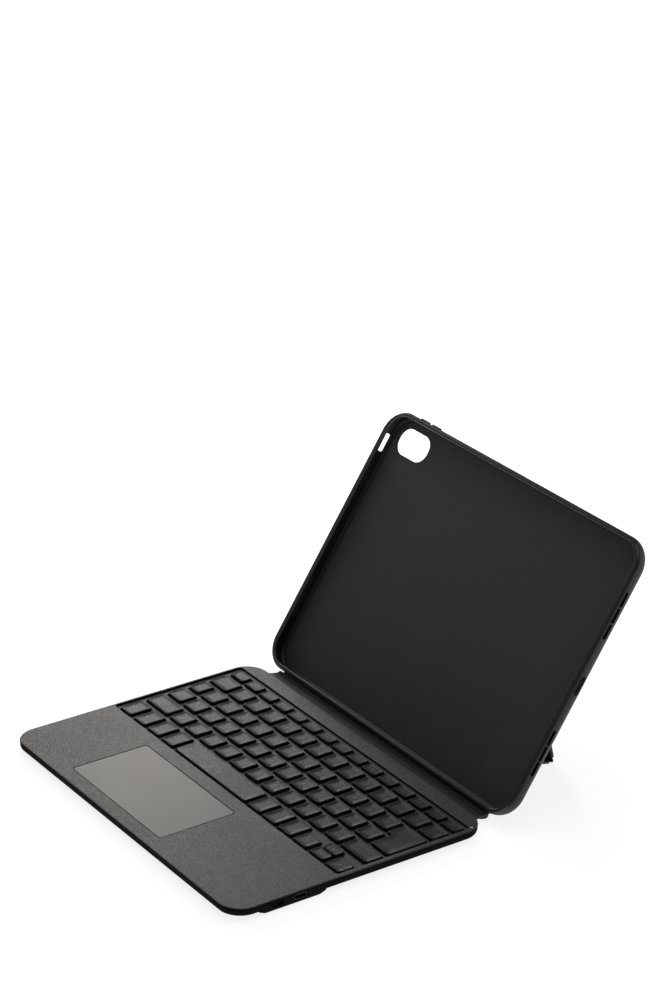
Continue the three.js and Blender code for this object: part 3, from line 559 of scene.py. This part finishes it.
# feet, finer than in the frame, with a soft edge and grip ribs
foot = solid("foot_front", rloft(-96, 96, 37.2, 44.8, 3.7, [(0.0, 0.75), (0.05, 0.45), (0.16, 0.22), (0.4, 0.1), (0.58, 0.1)], 12))
carve(foot, merge(*[boxm(-91, 91, 38.85 + 1.35 * k, 39.25 + 1.35 * k, -0.1, 0.12) for k in range(4)]))
finish_mesh(foot, KB)
put(foot, "keyboard", RUBBER, ["foot_front_strip"])
for side, s in (("left", -1), ("right", 1)):
    a, b = sorted((s * 60, s * 104))
    f = solid("foot_rear_pad_" + side, rloft(a, b, 154, 161.5, 3.5, [(0.0, 1.1), (0.06, 0.75), (0.25, 0.45), (0.7, 0.25), (2.45, 0.0), (2.58, 0.0)], 12))
    carve(f, merge(*[boxm(a + 3.5, b - 3.5, 155.7 + 1.3 * k, 156.1 + 1.3 * k, -0.1, 0.16) for k in range(4)]))
    finish_mesh(f, KB)
    put(f, "keyboard", RUBBER, ["foot_rear_" + side])

# cross head screws
for i, (x, y) in enumerate(BOSS):
    sc = solid("case_screw_head_%d" % (i + 1), merge(cyl(x, y, 2.62, 2.9, 1.85, 32, 2.0)))
    carve(sc, boxm(x - 1.1, x + 1.1, y - 0.16, y + 0.16, 2.5, 2.8), boxm(x - 0.16, x + 0.16, y - 1.1, y + 1.1, 2.5, 2.8))
    carve(sc, cyl(x, y, 2.85, 5.4, 0.8, 24), op="UNION")
    finish_mesh(sc, KB, 30)
    put(sc, "keyboard", STEEL, ["case_screw_%d" % (i + 1)])

# charging socket: rounded steel shell with a tongue; the steel is darkened as painted shade
us = solid("usb_c_shell", turn_x(rloft(USB_Y - 4.45, USB_Y + 4.45, PORT_Z - 1.6, PORT_Z + 1.6, 1.58, [(HX - 8.4, 0), (HX - 0.95, 0), (HX - 0.85, 0.06)], 12)))
carve(us, turn_x(rloft(USB_Y - 4.15, USB_Y + 4.15, PORT_Z - 1.3, PORT_Z + 1.3, 1.28, [(HX - 6.6, 0), (HX, 0)], 12)))
finish_mesh(us, KB)
put(us, "keyboard", SOCKET_STEEL_PAINTED_SHADE, ["usb_c_socket"])
ut = make("usb_c_tongue", turn_x(rloft(USB_Y - 3.3, USB_Y + 3.3, PORT_Z - 0.35, PORT_Z + 0.35, 0.3, [(HX - 7, 0), (HX - 1.75, 0), (HX - 1.6, 0.12)], 6)))
shade(ut)
put(ut, "keyboard", BLACK_PLASTIC_AND_PAINTED_SHADE)

# sliding power switch with grip ribs
sw = solid("power_switch_knob", turn_x(rloft(SW0 + 0.4, SW0 + 4.8, PORT_Z - 0.95, PORT_Z + 0.95, 0.9, [(HX - 3.2, 0), (HX - 0.6, 0), (HX - 0.4, 0.12)], 10)))
carve(sw, merge(*[boxm(HX - 0.55, HX, SW0 + 1.2 + 0.75 * k, SW0 + 1.5 + 0.75 * k, PORT_Z - 1.2, PORT_Z + 1.2) for k in range(4)]))
finish_mesh(sw, KB, 30)
put(sw, "power_switch", SHELLM, ["power_switch_slider"])

led = make("status_light_window", loft([([(LED[0] + r * math.cos(2 * math.pi * i / 32), LED[1] + r * math.sin(2 * math.pi * i / 32)) for i in range(32)], z) for z, r in
    ((6.5, 0.5), (7.75, 0.5), (7.9, 0.44), (7.95, 0.3))]))
shade(led)
put(led, "keyboard", LIGHT, ["status_light_lens"])

pad = make("trackpad_surface", rloft(*PAD, 2.3, [(DECK_TOP - 1.3, 0), (DECK_TOP - 0.42, 0), (DECK_TOP - 0.24, 0.05), (DECK_TOP - 0.13, 0.16), (DECK_TOP - 0.1, 0.34)], 12))
shade(pad)
put(pad, "trackpad", PADM, ["trackpad_plate"])
# black ring under the gap around the trackpad: painted shade in the gap
pad_gap_painted_shade = solid("trackpad_gap_painted_shade", rloft(PAD[0] - 1.5, PAD[1] + 1.5, PAD[2] - 1.5, PAD[3] + 1.5, 3, [(5.95, 0), (6.38, 0)], 8))
carve(pad_gap_painted_shade, rloft(PAD[0] + 1.5, PAD[1] - 1.5, PAD[2] + 1.5, PAD[3] - 1.5, 1, [(5.5, 0), (7, 0)], 8))
finish_mesh(pad_gap_painted_shade, KB)
put(pad_gap_painted_shade, "keyboard", BLACK_PLASTIC_AND_PAINTED_SHADE)


# ------------------------------------------------------------------ keys
def cap_mesh(x0, x1, y0, y1, r=2.3, dish=0.26, top=KEY_TOP, skirt=6.7):
    """Cap with drafted sides, a rolled edge and a dished top."""
    w = min(x1 - x0, y1 - y0) / 2
    lv = [(skirt, -0.02), (top - 0.9, 0.18), (top - 0.42, 0.28), (top - 0.22, 0.38), (top - 0.09, 0.52), (top - 0.02, 0.68), (top, 0.86)]
    inn = w - 0.9
    for k in range(1, 7):
        f = k / 7
        lv.append((top - dish * (1 - (1 - f) ** 3), 0.86 + (inn - 0.86) * f * 0.85))
    return rloft(x0, x1, y0, y1, r, lv, 7)


def enter_outline(d):
    (ux0, ux1), (lx0, _), (y0, y1), st = ENTER
    r = 1.9
    q = max(r - d, 0.15)
    pts = []

    def arc(cx, cy, rad, a0, a1, n=6):
        for i in range(n + 1):
            a = math.radians(a0 + (a1 - a0) * i / n)
            pts.append((cx + rad * math.cos(a), cy + rad * math.sin(a)))

    arc(ux1 - d - q, y0 + d + q, q, -90, 0)
    arc(ux1 - d - q, y1 - d - q, q, 0, 90)
    arc(ux0 + d + q, y1 - d - q, q, 90, 180)
    arc(ux0 + d + q, st + d + q, q, 180, 270)
    ri = 0.6 + d
    arc(lx0 + d - ri, st + d - ri, ri, 90, 0)
    arc(lx0 + d + q, y0 + d + q, q, 180, 270)
    return pts


def enter_mesh(top=KEY_TOP, skirt=6.7, dish=0.36):
    lv = [(skirt, -0.02), (top - 0.9, 0.18), (top - 0.42, 0.28), (top - 0.22, 0.38), (top - 0.09, 0.52), (top - 0.02, 0.68), (top, 0.86)]
    for k in range(1, 6):
        f = k / 6
        lv.append((top - dish * (1 - (1 - f) ** 3), 0.86 + 6.0 * f))
    return loft([(enter_outline(d), z) for z, d in lv])


def grow(k, d):
    return (k[0] - d, k[1] + d, k[2] - d, k[3] + d)


KEYS = {}


def keyset(body, keys, cad):
    KEYS[body] = (keys, cad)


def rowkeys(row, a, b=None):
    (y0, y1), ks = ROWS[row]
    return [(x0, x1, y0, y1) for x0, x1 in ks[a:b]]


keyset("press_function_row", rowkeys("function_row", 0), "keys_function_row")
keyset("press_number_row", rowkeys("number_row", 1, 13), "keys_number_row")
keyset("press_grave", rowkeys("number_row", 0, 1), "key_grave")
keyset("press_backspace", rowkeys("number_row", 13), "key_backspace")
keyset("press_upper_letter_row", rowkeys("upper_letter_row", 1), "keys_upper_letter_row")
keyset("press_tab", rowkeys("upper_letter_row", 0, 1), "key_tab")
keyset("press_home_letter_row", rowkeys("home_letter_row", 1), "keys_home_letter_row")
keyset("press_caps_lock", rowkeys("home_letter_row", 0, 1), "key_caps_lock")
keyset("press_lower_letter_row", rowkeys("lower_letter_row", 1, 12), "keys_lower_letter_row")
keyset("press_shift_left", rowkeys("lower_letter_row", 0, 1), "key_shift_left")
keyset("press_shift_right", rowkeys("lower_letter_row", 12), "key_shift_right")
keyset("press_modifier_left", rowkeys("bottom_row", 0, 4), "keys_modifier_left")
keyset("press_space", rowkeys("bottom_row", 4, 5), "key_space")
keyset("press_modifier_right", rowkeys("bottom_row", 5), "keys_modifier_right")
for n, k in ARROWS.items():
    keyset("press_arrow_" + n, [k], "key_arrow_" + n)

LETTERS = {
    "press_number_row": list("1234567890-="),
    "press_upper_letter_row": list("QWERTYUIOP[]"),
    "press_home_letter_row": list("ASDFGHJKL;'"),
    "press_lower_letter_row": list("ZXCVBNM,./"),
}


def letter(ch, x, y, size, z):
    c = bpy.data.curves.new("t", "FONT")
    c.body = ch
    c.size = size
    c.align_x, c.align_y = "CENTER", "CENTER"
    c.resolution_u = 3
    o = bpy.data.objects.new("t", c)
    scene.collection.objects.link(o)
    bpy.context.view_layer.update()
    me = bpy.data.meshes.new_from_object(o.evaluated_get(bpy.context.evaluated_depsgraph_get()))
    v = [(p.co.x + x, p.co.y + y, z) for p in me.vertices]
    f = [tuple(p.vertices) for p in me.polygons]
    bpy.data.objects.remove(o)
    bpy.data.meshes.remove(me)
    bpy.data.curves.remove(c)
    return v, f


def bar(x, y, w, h, z):
    return [(x - w / 2, y - h / 2, z), (x + w / 2, y - h / 2, z), (x + w / 2, y + h / 2, z), (x - w / 2, y + h / 2, z)], [(0, 1, 2, 3)]


def tri(x, y, s, ang, z):
    p = [(x + s * math.cos(math.radians(ang + t)), y + s * math.sin(math.radians(ang + t)), z) for t in (0, 130, 230)]
    return p, [(0, 1, 2)]


def legends(body, keys, dish=0.26):
    out = []
    z = KEY_TOP - dish * 0.84
    marks = LETTERS.get(body)
    for i, (x0, x1, y0, y1) in enumerate(keys):
        cx, cy = (x0 + x1) / 2, (y0 + y1) / 2
        if marks and i < len(marks):
            out.append(letter(marks[i], cx, cy, 3.6, z))
        elif body == "press_function_row":
            out.append(bar(cx, cy, 1.6, 0.3, z) if i % 2 else merge(bar(cx - 0.6, cy, 0.35, 1.2, z), bar(cx + 0.6, cy, 0.35, 1.2, z)))
        elif body.startswith("press_arrow_"):
            a = {"left": 180, "right": 0, "up": 90, "down": 270}[body[12:]]
            out.append(tri(cx, cy, 1.0, a, z))
        elif body == "press_space":
            continue
        else:
            out.append(bar(x0 + 3.2 if cx < 0 else x1 - 3.2, cy, 2.0, 0.32, z))
    return merge(*out) if out else None


def cap_object(name, vf_list, body, cad, leg):
    caps = make(name, merge(*vf_list))
    me = caps.data
    me.materials.clear()
    me.materials.append(CAP)
    me.materials.append(CAP_SIDE_PAINTED_SHADE)
    # cap side walls get a darker copy of the cap plastic: painted shade
    for p in me.polygons:
        zc = p.center.z * 1000
        p.material_index = 1 if zc < KEY_TOP - 0.62 else 0
    shade(caps, 50)
    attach(caps, body)
    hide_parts(cad)
    if leg:
        lo = make(name + "_legends", leg)
        for p in lo.data.polygons:
            if p.normal.z < 0:
                p.flip()
        put(lo, body, LEGEND)
    return caps


holes = []
for body, (keys, cad) in KEYS.items():
    small = body.startswith("press_arrow_")
    d = 0.2 if body == "press_space" else (0.34 if small or body == "press_function_row" else 0.55)
    cap_object("caps_" + body[6:], [cap_mesh(*k, dish=d) for k in keys], body, cad, legends(body, keys, d))
    holes += [grow(k, 0.42) for k in keys]
ent = cap_object("caps_enter", [enter_mesh()], "press_enter", "key_enter", merge(bar(118.0, 131.5, 2.0, 0.32, KEY_TOP - 0.3)))

# floor of the key field, pierced for every cap, and the dark plate under it
grid = solid("key_floor", rloft(-123.95, 122.2, 72.7, 167.9, 2.0, [(6.15, 0), (6.72, 0)], 6))
carve(grid, merge(*[rloft(*h, 1.5, [(5.5, 0), (6.6, 0), (6.73, -0.06), (7.4, -0.06)], 5) for h in holes if not (h[0] > 90 and h[1] < 106 and h[3] < 92)] +
    [rloft(91.25 - 0.42, 104.85 + 0.42, 74.35 - 0.42, 90.85 + 0.42, 1.5, [(5.5, 0), (6.6, 0), (6.73, -0.06), (7.4, -0.06)], 5)] +
    [loft([(enter_outline(-0.42), 5.5), (enter_outline(-0.42), 7.4)])]))
finish_mesh(grid, KB, 35)
put(grid, "keyboard", GRID)
kp = make("key_plate_dark", rloft(-123.2, 123.2, 70, 169.4, 8, [(5.0, 0), (5.6, 0)], 8))
shade(kp)
put(kp, "keyboard", BLACK_PLASTIC_AND_PAINTED_SHADE, ["key_support_plate"])

# ------------------------------------------------------------------ tray
hw = TW / 2


def side_inset(d):
    return TROUND - math.sqrt(max(TROUND ** 2 - (d - (TT - TROUND)) ** 2, 0))


ds = [11.0, 10.97, 10.9, 10.75, 10.5, 10.2, 9.8, 9.3, 8.7, 8.0, 7.2, 6.3, 5.4, 4.5]
lv = [(-d, side_inset(d)) for d in ds] + [(-(TT - TROUND), 0), (-1.9, 0), (-1.45, 0.04), (-1.1, 0.16), (-0.75, 0.36), (-0.45, 0.62), (-0.22, 0.92), (-0.08, 1.22), (0, 1.55)]
tray = solid("tray_frame", rloft(-hw, hw, 0, TH, TR, lv, 20))
bx, by = 2.9, 1.95
carve(
    tray,
    rloft(-hw + bx, hw - bx, by, TH - by, 14.2, [(-9.2, 2), (-8.6, 0.9), (-7.6, 0), (-LIP, 0)], 16),
    rloft(-hw + bx + 1.1, hw - bx - 1.1, by + 1.1, TH - by - 1.1, 13.1, [(-2.4, 0.12), (-1.5, 0.12), (-0.8, 0.1), (-0.5, 0.02), (-0.27, -0.12), (-0.1, -0.32), (0, -0.6), (0.3, -0.6)], 16),
    rloft(-hw + 5.3, hw - 5.3, 5.3, TH - 5.3, 12.2, [(-12, 0), (-9.2, 0)], 16),
)


def slot_cut(x0, x1, v0, v1, s):
    z = [(x0, 0.0), (x1 - 0.35, 0.0), (x1, -0.16), (x1 + 1.5, -0.3)] if s > 0 else [(x0 - 1.5, -0.3), (x0, -0.16), (x0 + 0.35, 0.0), (x1, 0.0)]
    return turn_x(rloft(v0, v1, -4.8, -2.3, 0.8, z, 6))


slots = [(123.2, 132.8), (133.8, 143.3), (144.3, 153.8), (32.3, 41.5), (42.3, 51.8), (52.8, 62.3)]
lslots = [(117.8, 127.0), (128.0, 137.2), (138.2, 146.0), (32.3, 41.5), (42.3, 51.8), (52.8, 62.3)]
carve(
    tray,
    merge(*[slot_cut(hw - 5, hw, a, b, 1) for a, b in slots]),
    merge(*[slot_cut(-hw, -hw + 5, a, b, -1) for a, b in lslots]),
    turn_x(rloft(86.2, 98.4, -7.4, -2.1, 2.4, [(hw - 6, 0.1), (hw - 1.0, 0.1), (hw - 0.4, -0.05), (hw - 0.1, -0.3), (hw + 0.3, -0.6)], 12)),
    along_x([(147.6, -TT - 1), (149.6, -TT + 2.2), (149.8, -2.9), (150.2, -2.6), (167.0, -2.6), (167.4, -2.9), (167.6, -TT + 2.2), (169.0, -TT - 1)], -hw - 1, -hw + 1.75),
    turn_x(rloft(153.0, 165.5, -7.2, -2.6, 1.2, [(-hw - 1, 0), (-hw + 5, 0)], 8)),
    merge(*[turn_x(rloft(TH - 7, TH + 1, -6.6, -3.0, 0.01, [(x0 - 0.4, 0), (x1 + 0.4, 0)], 1)) for x0, x1 in ((-103.2, -94.0), (-91.4, -82.2))]),
)
finish_mesh(tray, TRAY)
put(tray, "tray", TRAYM, ["tray_bumper"])
tray.data.materials.append(BLACK_PLASTIC_AND_PAINTED_SHADE)
tray.data.materials.append(TRAY_LIP_PAINTED_HIGHLIGHT)
inv = TRAY.inverted()
for f in tray.data.polygons:
    x, v, z = inv @ f.center
    ins = min(hw - abs(x), v, TH - v)
    # faces of the window's inner bevel get a lighter, glossier copy of the tray material: painted highlight
    if z > -0.75 and abs((TRAY.inverted().to_3x3() @ f.normal).normalized().z) < 0.93 and (ins > 2.7 or math.hypot(max(abs(x) - (hw - TR), 0), max(v - (TH - TR), TR - v, 0)) < TR - 2.7) and ins > 2.4:
        f.material_index = 2
    # the slot walls are coloured black: painted shade
    if abs(x) < hw - 0.3 and abs(x) > hw - 5.2 and -4.95 < z < -2.15 and any(a - 0.05 < v < b + 0.05 for a, b in (slots if x > 0 else lslots)):
        f.material_index = 1

for n, (x0, x1) in {"down": (-103.2, -94.0), "up": (-91.4, -82.2)}.items():
    # pad: base in the window and a raised pill with rounded edges
    base = make("volume_%s_button" % n, merge(
        boxm(x0, x1, TH - 3.4, TH - 0.1, -6.2, -3.4),
    ), TRAY)
    shade(base)
    put(base, "volume_" + n, TRAYM, ["volume_%s_pad" % n])
    pv, pf = rloft(x0 + 0.1, x1 - 0.1, -6.1, -3.5, 1.25, [(TH - 0.4, 0), (TH + 0.3, 0.02), (TH + 0.5, 0.1), (TH + 0.64, 0.26), (TH + 0.72, 0.55)], 10)
    top = make("volume_%s_button_top" % n, ([(x, z, y) for x, y, z in pv], pf), TRAY)
    shade(top)
    put(top, "volume_" + n, TRAYM)

back = solid("tray_back", rloft(-hw + 5.6, hw - 5.6, 5.6, TH - 5.6, 11.9, [(-TT, 0.75), (-TT + 0.05, 0.42), (-TT + 0.16, 0.16), (-TT + 0.34, 0.02), (-TT + 0.5, 0), (-9.3, 0)], 16))
carve(
    back,
    rloft(-79.3, 79.3, 6.4, 177.7, 2.5, [(-12, -0.2), (-TT + 0.02, -0.12), (-TT + 0.2, 0), (-TT + 0.7, 0.02)], 8),
    rloft(*CAM, CAM_R, [(-11.6, -1.7), (-TT, -1.1), (-TT + 0.18, -0.78), (-TT + 0.5, -0.4), (-TT + 0.95, -0.1), (-TT + 1.3, 0), (-8, 0)], 16),
    rloft(-70.3, 70.3, 78.7, 176.3, 2, [(-9.9, 0), (-8, 0)], 6),
)
finish_mesh(back, TRAY)
put(back, "tray", BACKM, ["tray_back_shell"])

lx0, lx1, ly0, ly1 = -hw + bx + 2.2, hw - bx - 2.2, by + 2.2, TH - by - 2.2
lining = solid("tray_lining_cloth", rloft(lx0, lx1, ly0, ly1, 12, [(-9.15, 0), (-8.95, 0), (-8.85, 0.12)], 12))
carve(lining, rloft(CAM[0] - 0.6, CAM[1] + 0.6, CAM[2] - 0.6, CAM[3] + 0.6, CAM_R + 0.6, [(-10, 0), (-8, 0)], 12))
finish_mesh(lining, TRAY)
put(lining, "tray", LINE, ["tray_lining"])


# ------------------------------------------------------------------ stand
def panel_levels():
    """Board under skin: rolled edge and pressed border, flat in the middle."""
    return [
        (ZO, 5.2), (ZO + 0.03, 4.2), (ZO + 0.12, 3.5), (ZO + 0.28, 2.95), (ZO + 0.4, 2.5), (ZO + 0.44, 2.0), (ZO + 0.43, 1.3), (ZO + 0.5, 0.8),
        (ZO + 0.62, 0.42), (ZO + 0.82, 0.14), (ZO + 1.1, 0.0), (ZI - 0.5, 0.0), (ZI - 0.22, 0.1), (ZI - 0.06, 0.3), (ZI, 0.6),
    ]


def panel(name, y0, y1, M, body, cad, cuts=()):
    p = solid(name, rloft(-PW / 2, PW / 2, y0, y1, 2.6, panel_levels(), 8))
    if cuts:
        carve(p, *cuts)
    finish_mesh(p, M)
    put(p, body, PANEL, [cad])
    return p


panel("stand_lower_board", FH, LC - FH, LOWER, "stand_lower", "stand_lower_panel")
panel("stand_main_board", FH, LB - FH, MAIN, "stand_main", "stand_main_panel")
latchL = 176.7 - 157.8
panel("stand_latch_board", FH, latchL, LATCH, "stand_latch", "stand_latch_panel",
      [merge(boxm(-62.3, -21.7, 4.7, 14.3, ZI - 1.7, ZI + 1), boxm(21.7, 62.3, 4.7, 14.3, ZI - 1.7, ZI + 1))])
strip = solid("stand_fixed_board", rloft(-78.9, 78.9, 6.8, 17.4 - FH, 2, [(-11.8, 2.6), (-11.76, 1.9), (-11.62, 1.2), (-11.48, 0.6), (-11.25, 0.15), (-11.0, 0), (-10.6, 0)], 8))
finish_mesh(strip, TRAY)
put(strip, "tray", PANEL, ["stand_fixed_strip"])


def at(p, deg, along, off):
    a = math.radians(deg)
    return (p[0] + along * math.cos(a) - off * math.sin(a), p[1] + along * math.sin(a) + off * math.cos(a))


def smooth_line(pts, n):
    """Catmull-Rom curve through pts, n points, even in length."""
    P = [np.array(p, float) for p in pts]
    P = [2 * P[0] - P[1]] + P + [2 * P[-1] - P[-2]]
    fine = []
    for i in range(1, len(P) - 2):
        for k in range(24):
            t = k / 24
            a, b, c, d = P[i - 1], P[i], P[i + 1], P[i + 2]
            fine.append(0.5 * (2 * b + (c - a) * t + (2 * a - 5 * b + 4 * c - d) * t * t + (3 * b - a - 3 * c + d) * t ** 3))
    fine.append(P[-2])
    fine = np.array(fine)
    s = np.concatenate([[0], np.cumsum(np.linalg.norm(np.diff(fine, axis=0), axis=1))])
    q = np.linspace(0, s[-1], n)
    return np.stack([np.interp(q, s, fine[:, k]) for k in (0, 1)], 1), s[-1]


def skin_mesh(name, pts, half, thick, n=26, ridges=0.0):
    """A thin soft skin that follows a line in the Y-Z plane, thinner at its glued ends, rolled at its sides."""
    line, length = smooth_line(pts, n)
    d = np.gradient(line, axis=0)
    d /= np.linalg.norm(d, axis=1)[:, None]
    nrm = np.stack([-d[:, 1], d[:, 0]], 1)
    t = np.full(n, thick / 2)
    t *= np.minimum(1, 0.55 + 0.45 * np.minimum(np.arange(n), np.arange(n)[::-1]) / 3)
    if ridges:
        t = t * (1 + ridges * np.sin(np.linspace(0, 5 * np.pi, n)))
    up_, dn_ = line + nrm * t[:, None], line - nrm * t[:, None]
    xs = [(-half, 0.35), (-half + 0.12, 0.75), (-half + 0.35, 1.0)] + [(x, 1.0) for x in np.linspace(-half + 6, half - 6, 21)] + [(half - 0.35, 1.0), (half - 0.12, 0.75), (half, 0.35)]
    verts, faces = [], []
    m = 2 * n
    for x, k in xs:
        mid = line
        u = mid + (up_ - mid) * k
        w = mid + (dn_ - mid) * k
        verts += [(x, a[0], a[1]) for a in u] + [(x, a[0], a[1]) for a in w[::-1]]
    for i in range(len(xs) - 1):
        for j in range(m):
            k = (j + 1) % m
            faces.append((i * m + j, i * m + k, (i + 1) * m + k, (i + 1) * m + j))
    faces.append(tuple(range(m)))
    faces.append(tuple(reversed(range((len(xs) - 1) * m, len(xs) * m))))
    o = make(name, (verts, faces))
    shade(o, 60, False)
    return o, length


def row(p):
    return (0, (p[0] - OY) / 1000, p[1] / 1000)


def soft(o, material, cad):
    o.data.materials.clear()
    o.data.materials.append(material)
    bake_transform(o)
    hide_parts(cad)


HWS = PW / 2 - 1.2
s0, s1 = at(P1, UPD, -FH - 0.1, 0.1), at(P1, LOWD, FH + 0.1, 0.1)
o, _ = skin_mesh("fold_cover_lower", [s0, at(P1, UPD, -1.1, -0.02), at(P1, (UPD + LOWD) / 2 + 0, 0, 0.25), at(P1, LOWD, 1.1, -0.02), s1], HWS, 0.62)
soft(o, SKIN, "fold_skin_lower")
s0, s1 = at(P2, LOWD, -FH - 0.1, -0.15), at(P2, MAIND, FH + 0.1, -0.15)
o, _ = skin_mesh("fold_cover_main", [s0, at(P2, LOWD, -1.1, -0.28), at(P2, (LOWD + MAIND) / 2 - 90, 0.28, 0), at(P2, MAIND, 1.1, -0.28), s1], HWS, 0.62)
soft(o, SKIN, "fold_skin_main")
s0, s1 = at(P3, MAIND, -FH - 0.1, 0), at(P3, UPD, FH + 0.1, 0)
o, _ = skin_mesh("fold_cover_latch", [s0, at(P3, MAIND, -1.1, 0), at(P3, (MAIND + UPD) / 2, 0, 0.05), at(P3, UPD, 1.1, 0), s1], HWS, 0.62)
soft(o, SKIN, "fold_skin_latch")

# woven elastic loop: flat folded ends, glued down, and a low arch between
L0, L1 = 50.8, 70.1
prof = []
for x, z in ((-16.3, -0.35), (-15.2, -0.62), (-14.0, -0.85), (-12.6, -1.5), (-10.4, -2.15), (-6.5, -2.38), (0, -2.45), (6.5, -2.38), (10.4, -2.15), (12.6, -1.5), (14.0, -0.85), (15.2, -0.62), (16.3, -0.35)):
    prof.append((x, z))
pl, plen = smooth_line(prof, 60)
verts, faces = [], []
ny = 26
for j in range(ny + 1):
    y = L0 + (L1 - L0) * j / ny
    edge = min(j, ny - j)
    for x, z in pl:
        verts.append((x, y, ZO + z + (0.06 if edge == 0 else 0)))
for j in range(ny):
    for i in range(59):
        a = j * 60 + i
        faces.append((a, a + 1, a + 61, a + 60))
loop = make("pencil_loop_band", (verts, faces), MAIN)
m = loop.modifiers.new("s", "SOLIDIFY")
m.thickness = 0.0007
m.offset = 0.0
bpy.context.view_layer.update()
bake(loop)
shade(loop, 50, False)
put(loop, "stand_main", LOOP, ["pencil_loop"])
# folded ends of the band
for s in (-1, 1):
    a, b = sorted((s * 12.9, s * 16.4))
    e = make("pencil_loop_end_%s" % ("left" if s < 0 else "right"), rloft(a, b, L0 + 0.1, L1 - 0.1, 0.5, [(ZO - 0.62, 0.3), (ZO - 0.5, 0.1), (ZO - 0.3, 0), (ZO + 0.02, 0)], 5), MAIN)
    shade(e)
    put(e, "stand_main", LOOP)

# ------------------------------------------------------------------ spine
def disc_pts(y, z, r, a0, a1, n):
    return [(y + r * math.cos(math.radians(a0 + (a1 - a0) * i / n)), z + r * math.sin(math.radians(a0 + (a1 - a0) * i / n))) for i in range(n + 1)]


RA, RB = 1.3, 1.6
out = disc_pts(0, 0, RA, 27.5, 309.7, 26) + disc_pts(SPLEN, 0, RB, 218.7, 518, 28)
bar_ = solid("spine_core", along_x(out, -110.2, 110.2, 24))
for v in bar_.data.vertices:  # rolled ends
    e = 110.2 - abs(v.co.x)
    if e < 0.01:
        v.co.y = SPLEN / 2 + (v.co.y - SPLEN / 2) * 0.97
        v.co.z *= 0.82
finish_mesh(bar_, SPINE, 40, False)
put(bar_, "spine", SKIN, ["spine_bar"])
q0, q1 = at(PA, SPD, 1.6, -1.85), at(PA, SPD, 3.4, -1.7)
o, _ = skin_mesh("spine_skin_front", [(168.2, 2.25), (173, 2.2), (178.2, 2.2), (179.8, 2.8), q0, q1], 109.2, 0.5, 40)
soft(o, SKIN, "spine_skin_keyboard")


def on_tray(v, d):
    a = math.radians(LEAN)
    return (TY + math.sin(a) * v + math.cos(a) * d, TZ + math.cos(a) * v - math.sin(a) * d)


r0, r1 = at(PA, SPD, 4.1, -1.65), at(PA, SPD, 5.6, -1.95)
arc = [(PB[0] + (RB + 0.65) * math.cos(math.radians(a)), PB[1] + (RB + 0.65) * math.sin(math.radians(a))) for a in (250, 270, 290, 310, 330)]
o, _ = skin_mesh("spine_skin_rear", [r0, r1] + arc + [on_tray(-0.75, 5.6), on_tray(-0.3, 8.0)], 109.2, 0.5, 40)
soft(o, SKIN, "spine_skin_tray")

# ------------------------------------------------------------------ frame nodes that stay, with their own finish
for names, m in ((("trackpad_click_switch", "steel_catch_plate"), STEEL), (("battery_left", "battery_right"), FOIL), (("main_circuit_board",), PCB), (("latch_magnet_left", "latch_magnet_right"), NICKEL)):
    for n in names:
        o = frame["nodes"][n]
        o.data.materials.clear()
        o.data.materials.append(m)
for o in frame["nodes"].values():
    if o.hide_render:
        o.data.materials.clear()
        o.data.materials.append(SHELLM)

# ------------------------------------------------------------------ floor, light, camera
n = Nodes("floor_glow_painted_shade")
fz = n.noise(30, 4.0, 0.6)
n.done(n.ramp(fz, [(0.3, (0.5, 0.5, 0.5)), (0.7, (0.52, 0.52, 0.52))]), 0.9, n.bump(fz, 0.03, 0.0002), Specular_IOR_Level=0.0)
n.b.inputs["Emission Color"].default_value = (1, 1, 1, 1)
# the floor glows less near the origin, rising over 0.2 to 0.5 m: painted shade around the object
ln = n.node("ShaderNodeVectorMath", operation="LENGTH")
n.link(n.co.outputs["Object"], ln.inputs[0])
n.link(n.rng(ln.outputs["Value"], 0.2, 0.5, 0.83, 1.0), n.b.inputs["Emission Strength"])
fl = make("floor", ([(-9000, -9000, 0), (9000, -9000, 0), (9000, 9000, 0), (-9000, 9000, 0)], [(0, 1, 2, 3)]), Matrix.Scale(0.001, 4))
fl.data.materials.append(n.m)
fl.location.z = -0.0002

world = bpy.data.worlds.new("studio")
scene.world = world
world.use_nodes = True
bg = world.node_tree.nodes["Background"]
bg.inputs["Color"].default_value = (1, 1, 1, 1)
bg.inputs["Strength"].default_value = 0.07


def area(name, pos, aim, w, h, power, color=(1, 1, 1)):
    d = bpy.data.lights.new(name, "AREA")
    d.shape = "RECTANGLE"
    d.size, d.size_y = w, h
    d.energy = power
    d.color = color
    o = bpy.data.objects.new(name, d)
    scene.collection.objects.link(o)
    o.location = pos
    o.rotation_euler = (Vector(aim) - Vector(pos)).to_track_quat("-Z", "Y").to_euler()
    return o


area("key_back_left", (-0.62, 0.235, 0.33), (-0.06, -0.02, 0.02), 0.26, 0.24, 1.75, (1.0, 0.962, 0.925))
area("left", (-0.9, -0.25, 0.5), (-0.05, -0.02, 0.02), 0.6, 0.5, 1.0, (1.0, 0.972, 0.945))
area("top_soft", (-0.1, 0.1, 1.7), (0, 0, 0), 1.6, 1.6, 6)
area("back_fill", (0.75, 1.6, 0.75), (0, 0.05, 0.06), 0.9, 0.8, 5)
area("front_fill", (0.5, -1.7, 0.9), (0, 0, 0.06), 1.2, 0.9, 1.2)

cam = bpy.data.cameras.new("camera")
cam.lens = 3246.203 * 36 / 1000
cam.sensor_width = 36
cam.sensor_fit = "AUTO"
cam.shift_x = cam.shift_y = 0.0
cam.dof.use_dof = False
cam.clip_start, cam.clip_end = 0.05, 60
co = bpy.data.objects.new("camera", cam)
scene.collection.objects.link(co)
R = Matrix(((0.56629771, -0.34479499, 0.74861427), (0.82414585, 0.22640308, -0.51915823), (0.00951458, 0.91096546, 0.4123729)))
co.matrix_world = Matrix.Translation((1.43139541, (-840.42613 - OY) / 1000, 0.96465812)) @ R.to_4x4()
scene.camera = co
scene.view_settings.view_transform = "Standard"

bpy.context.view_layer.update()
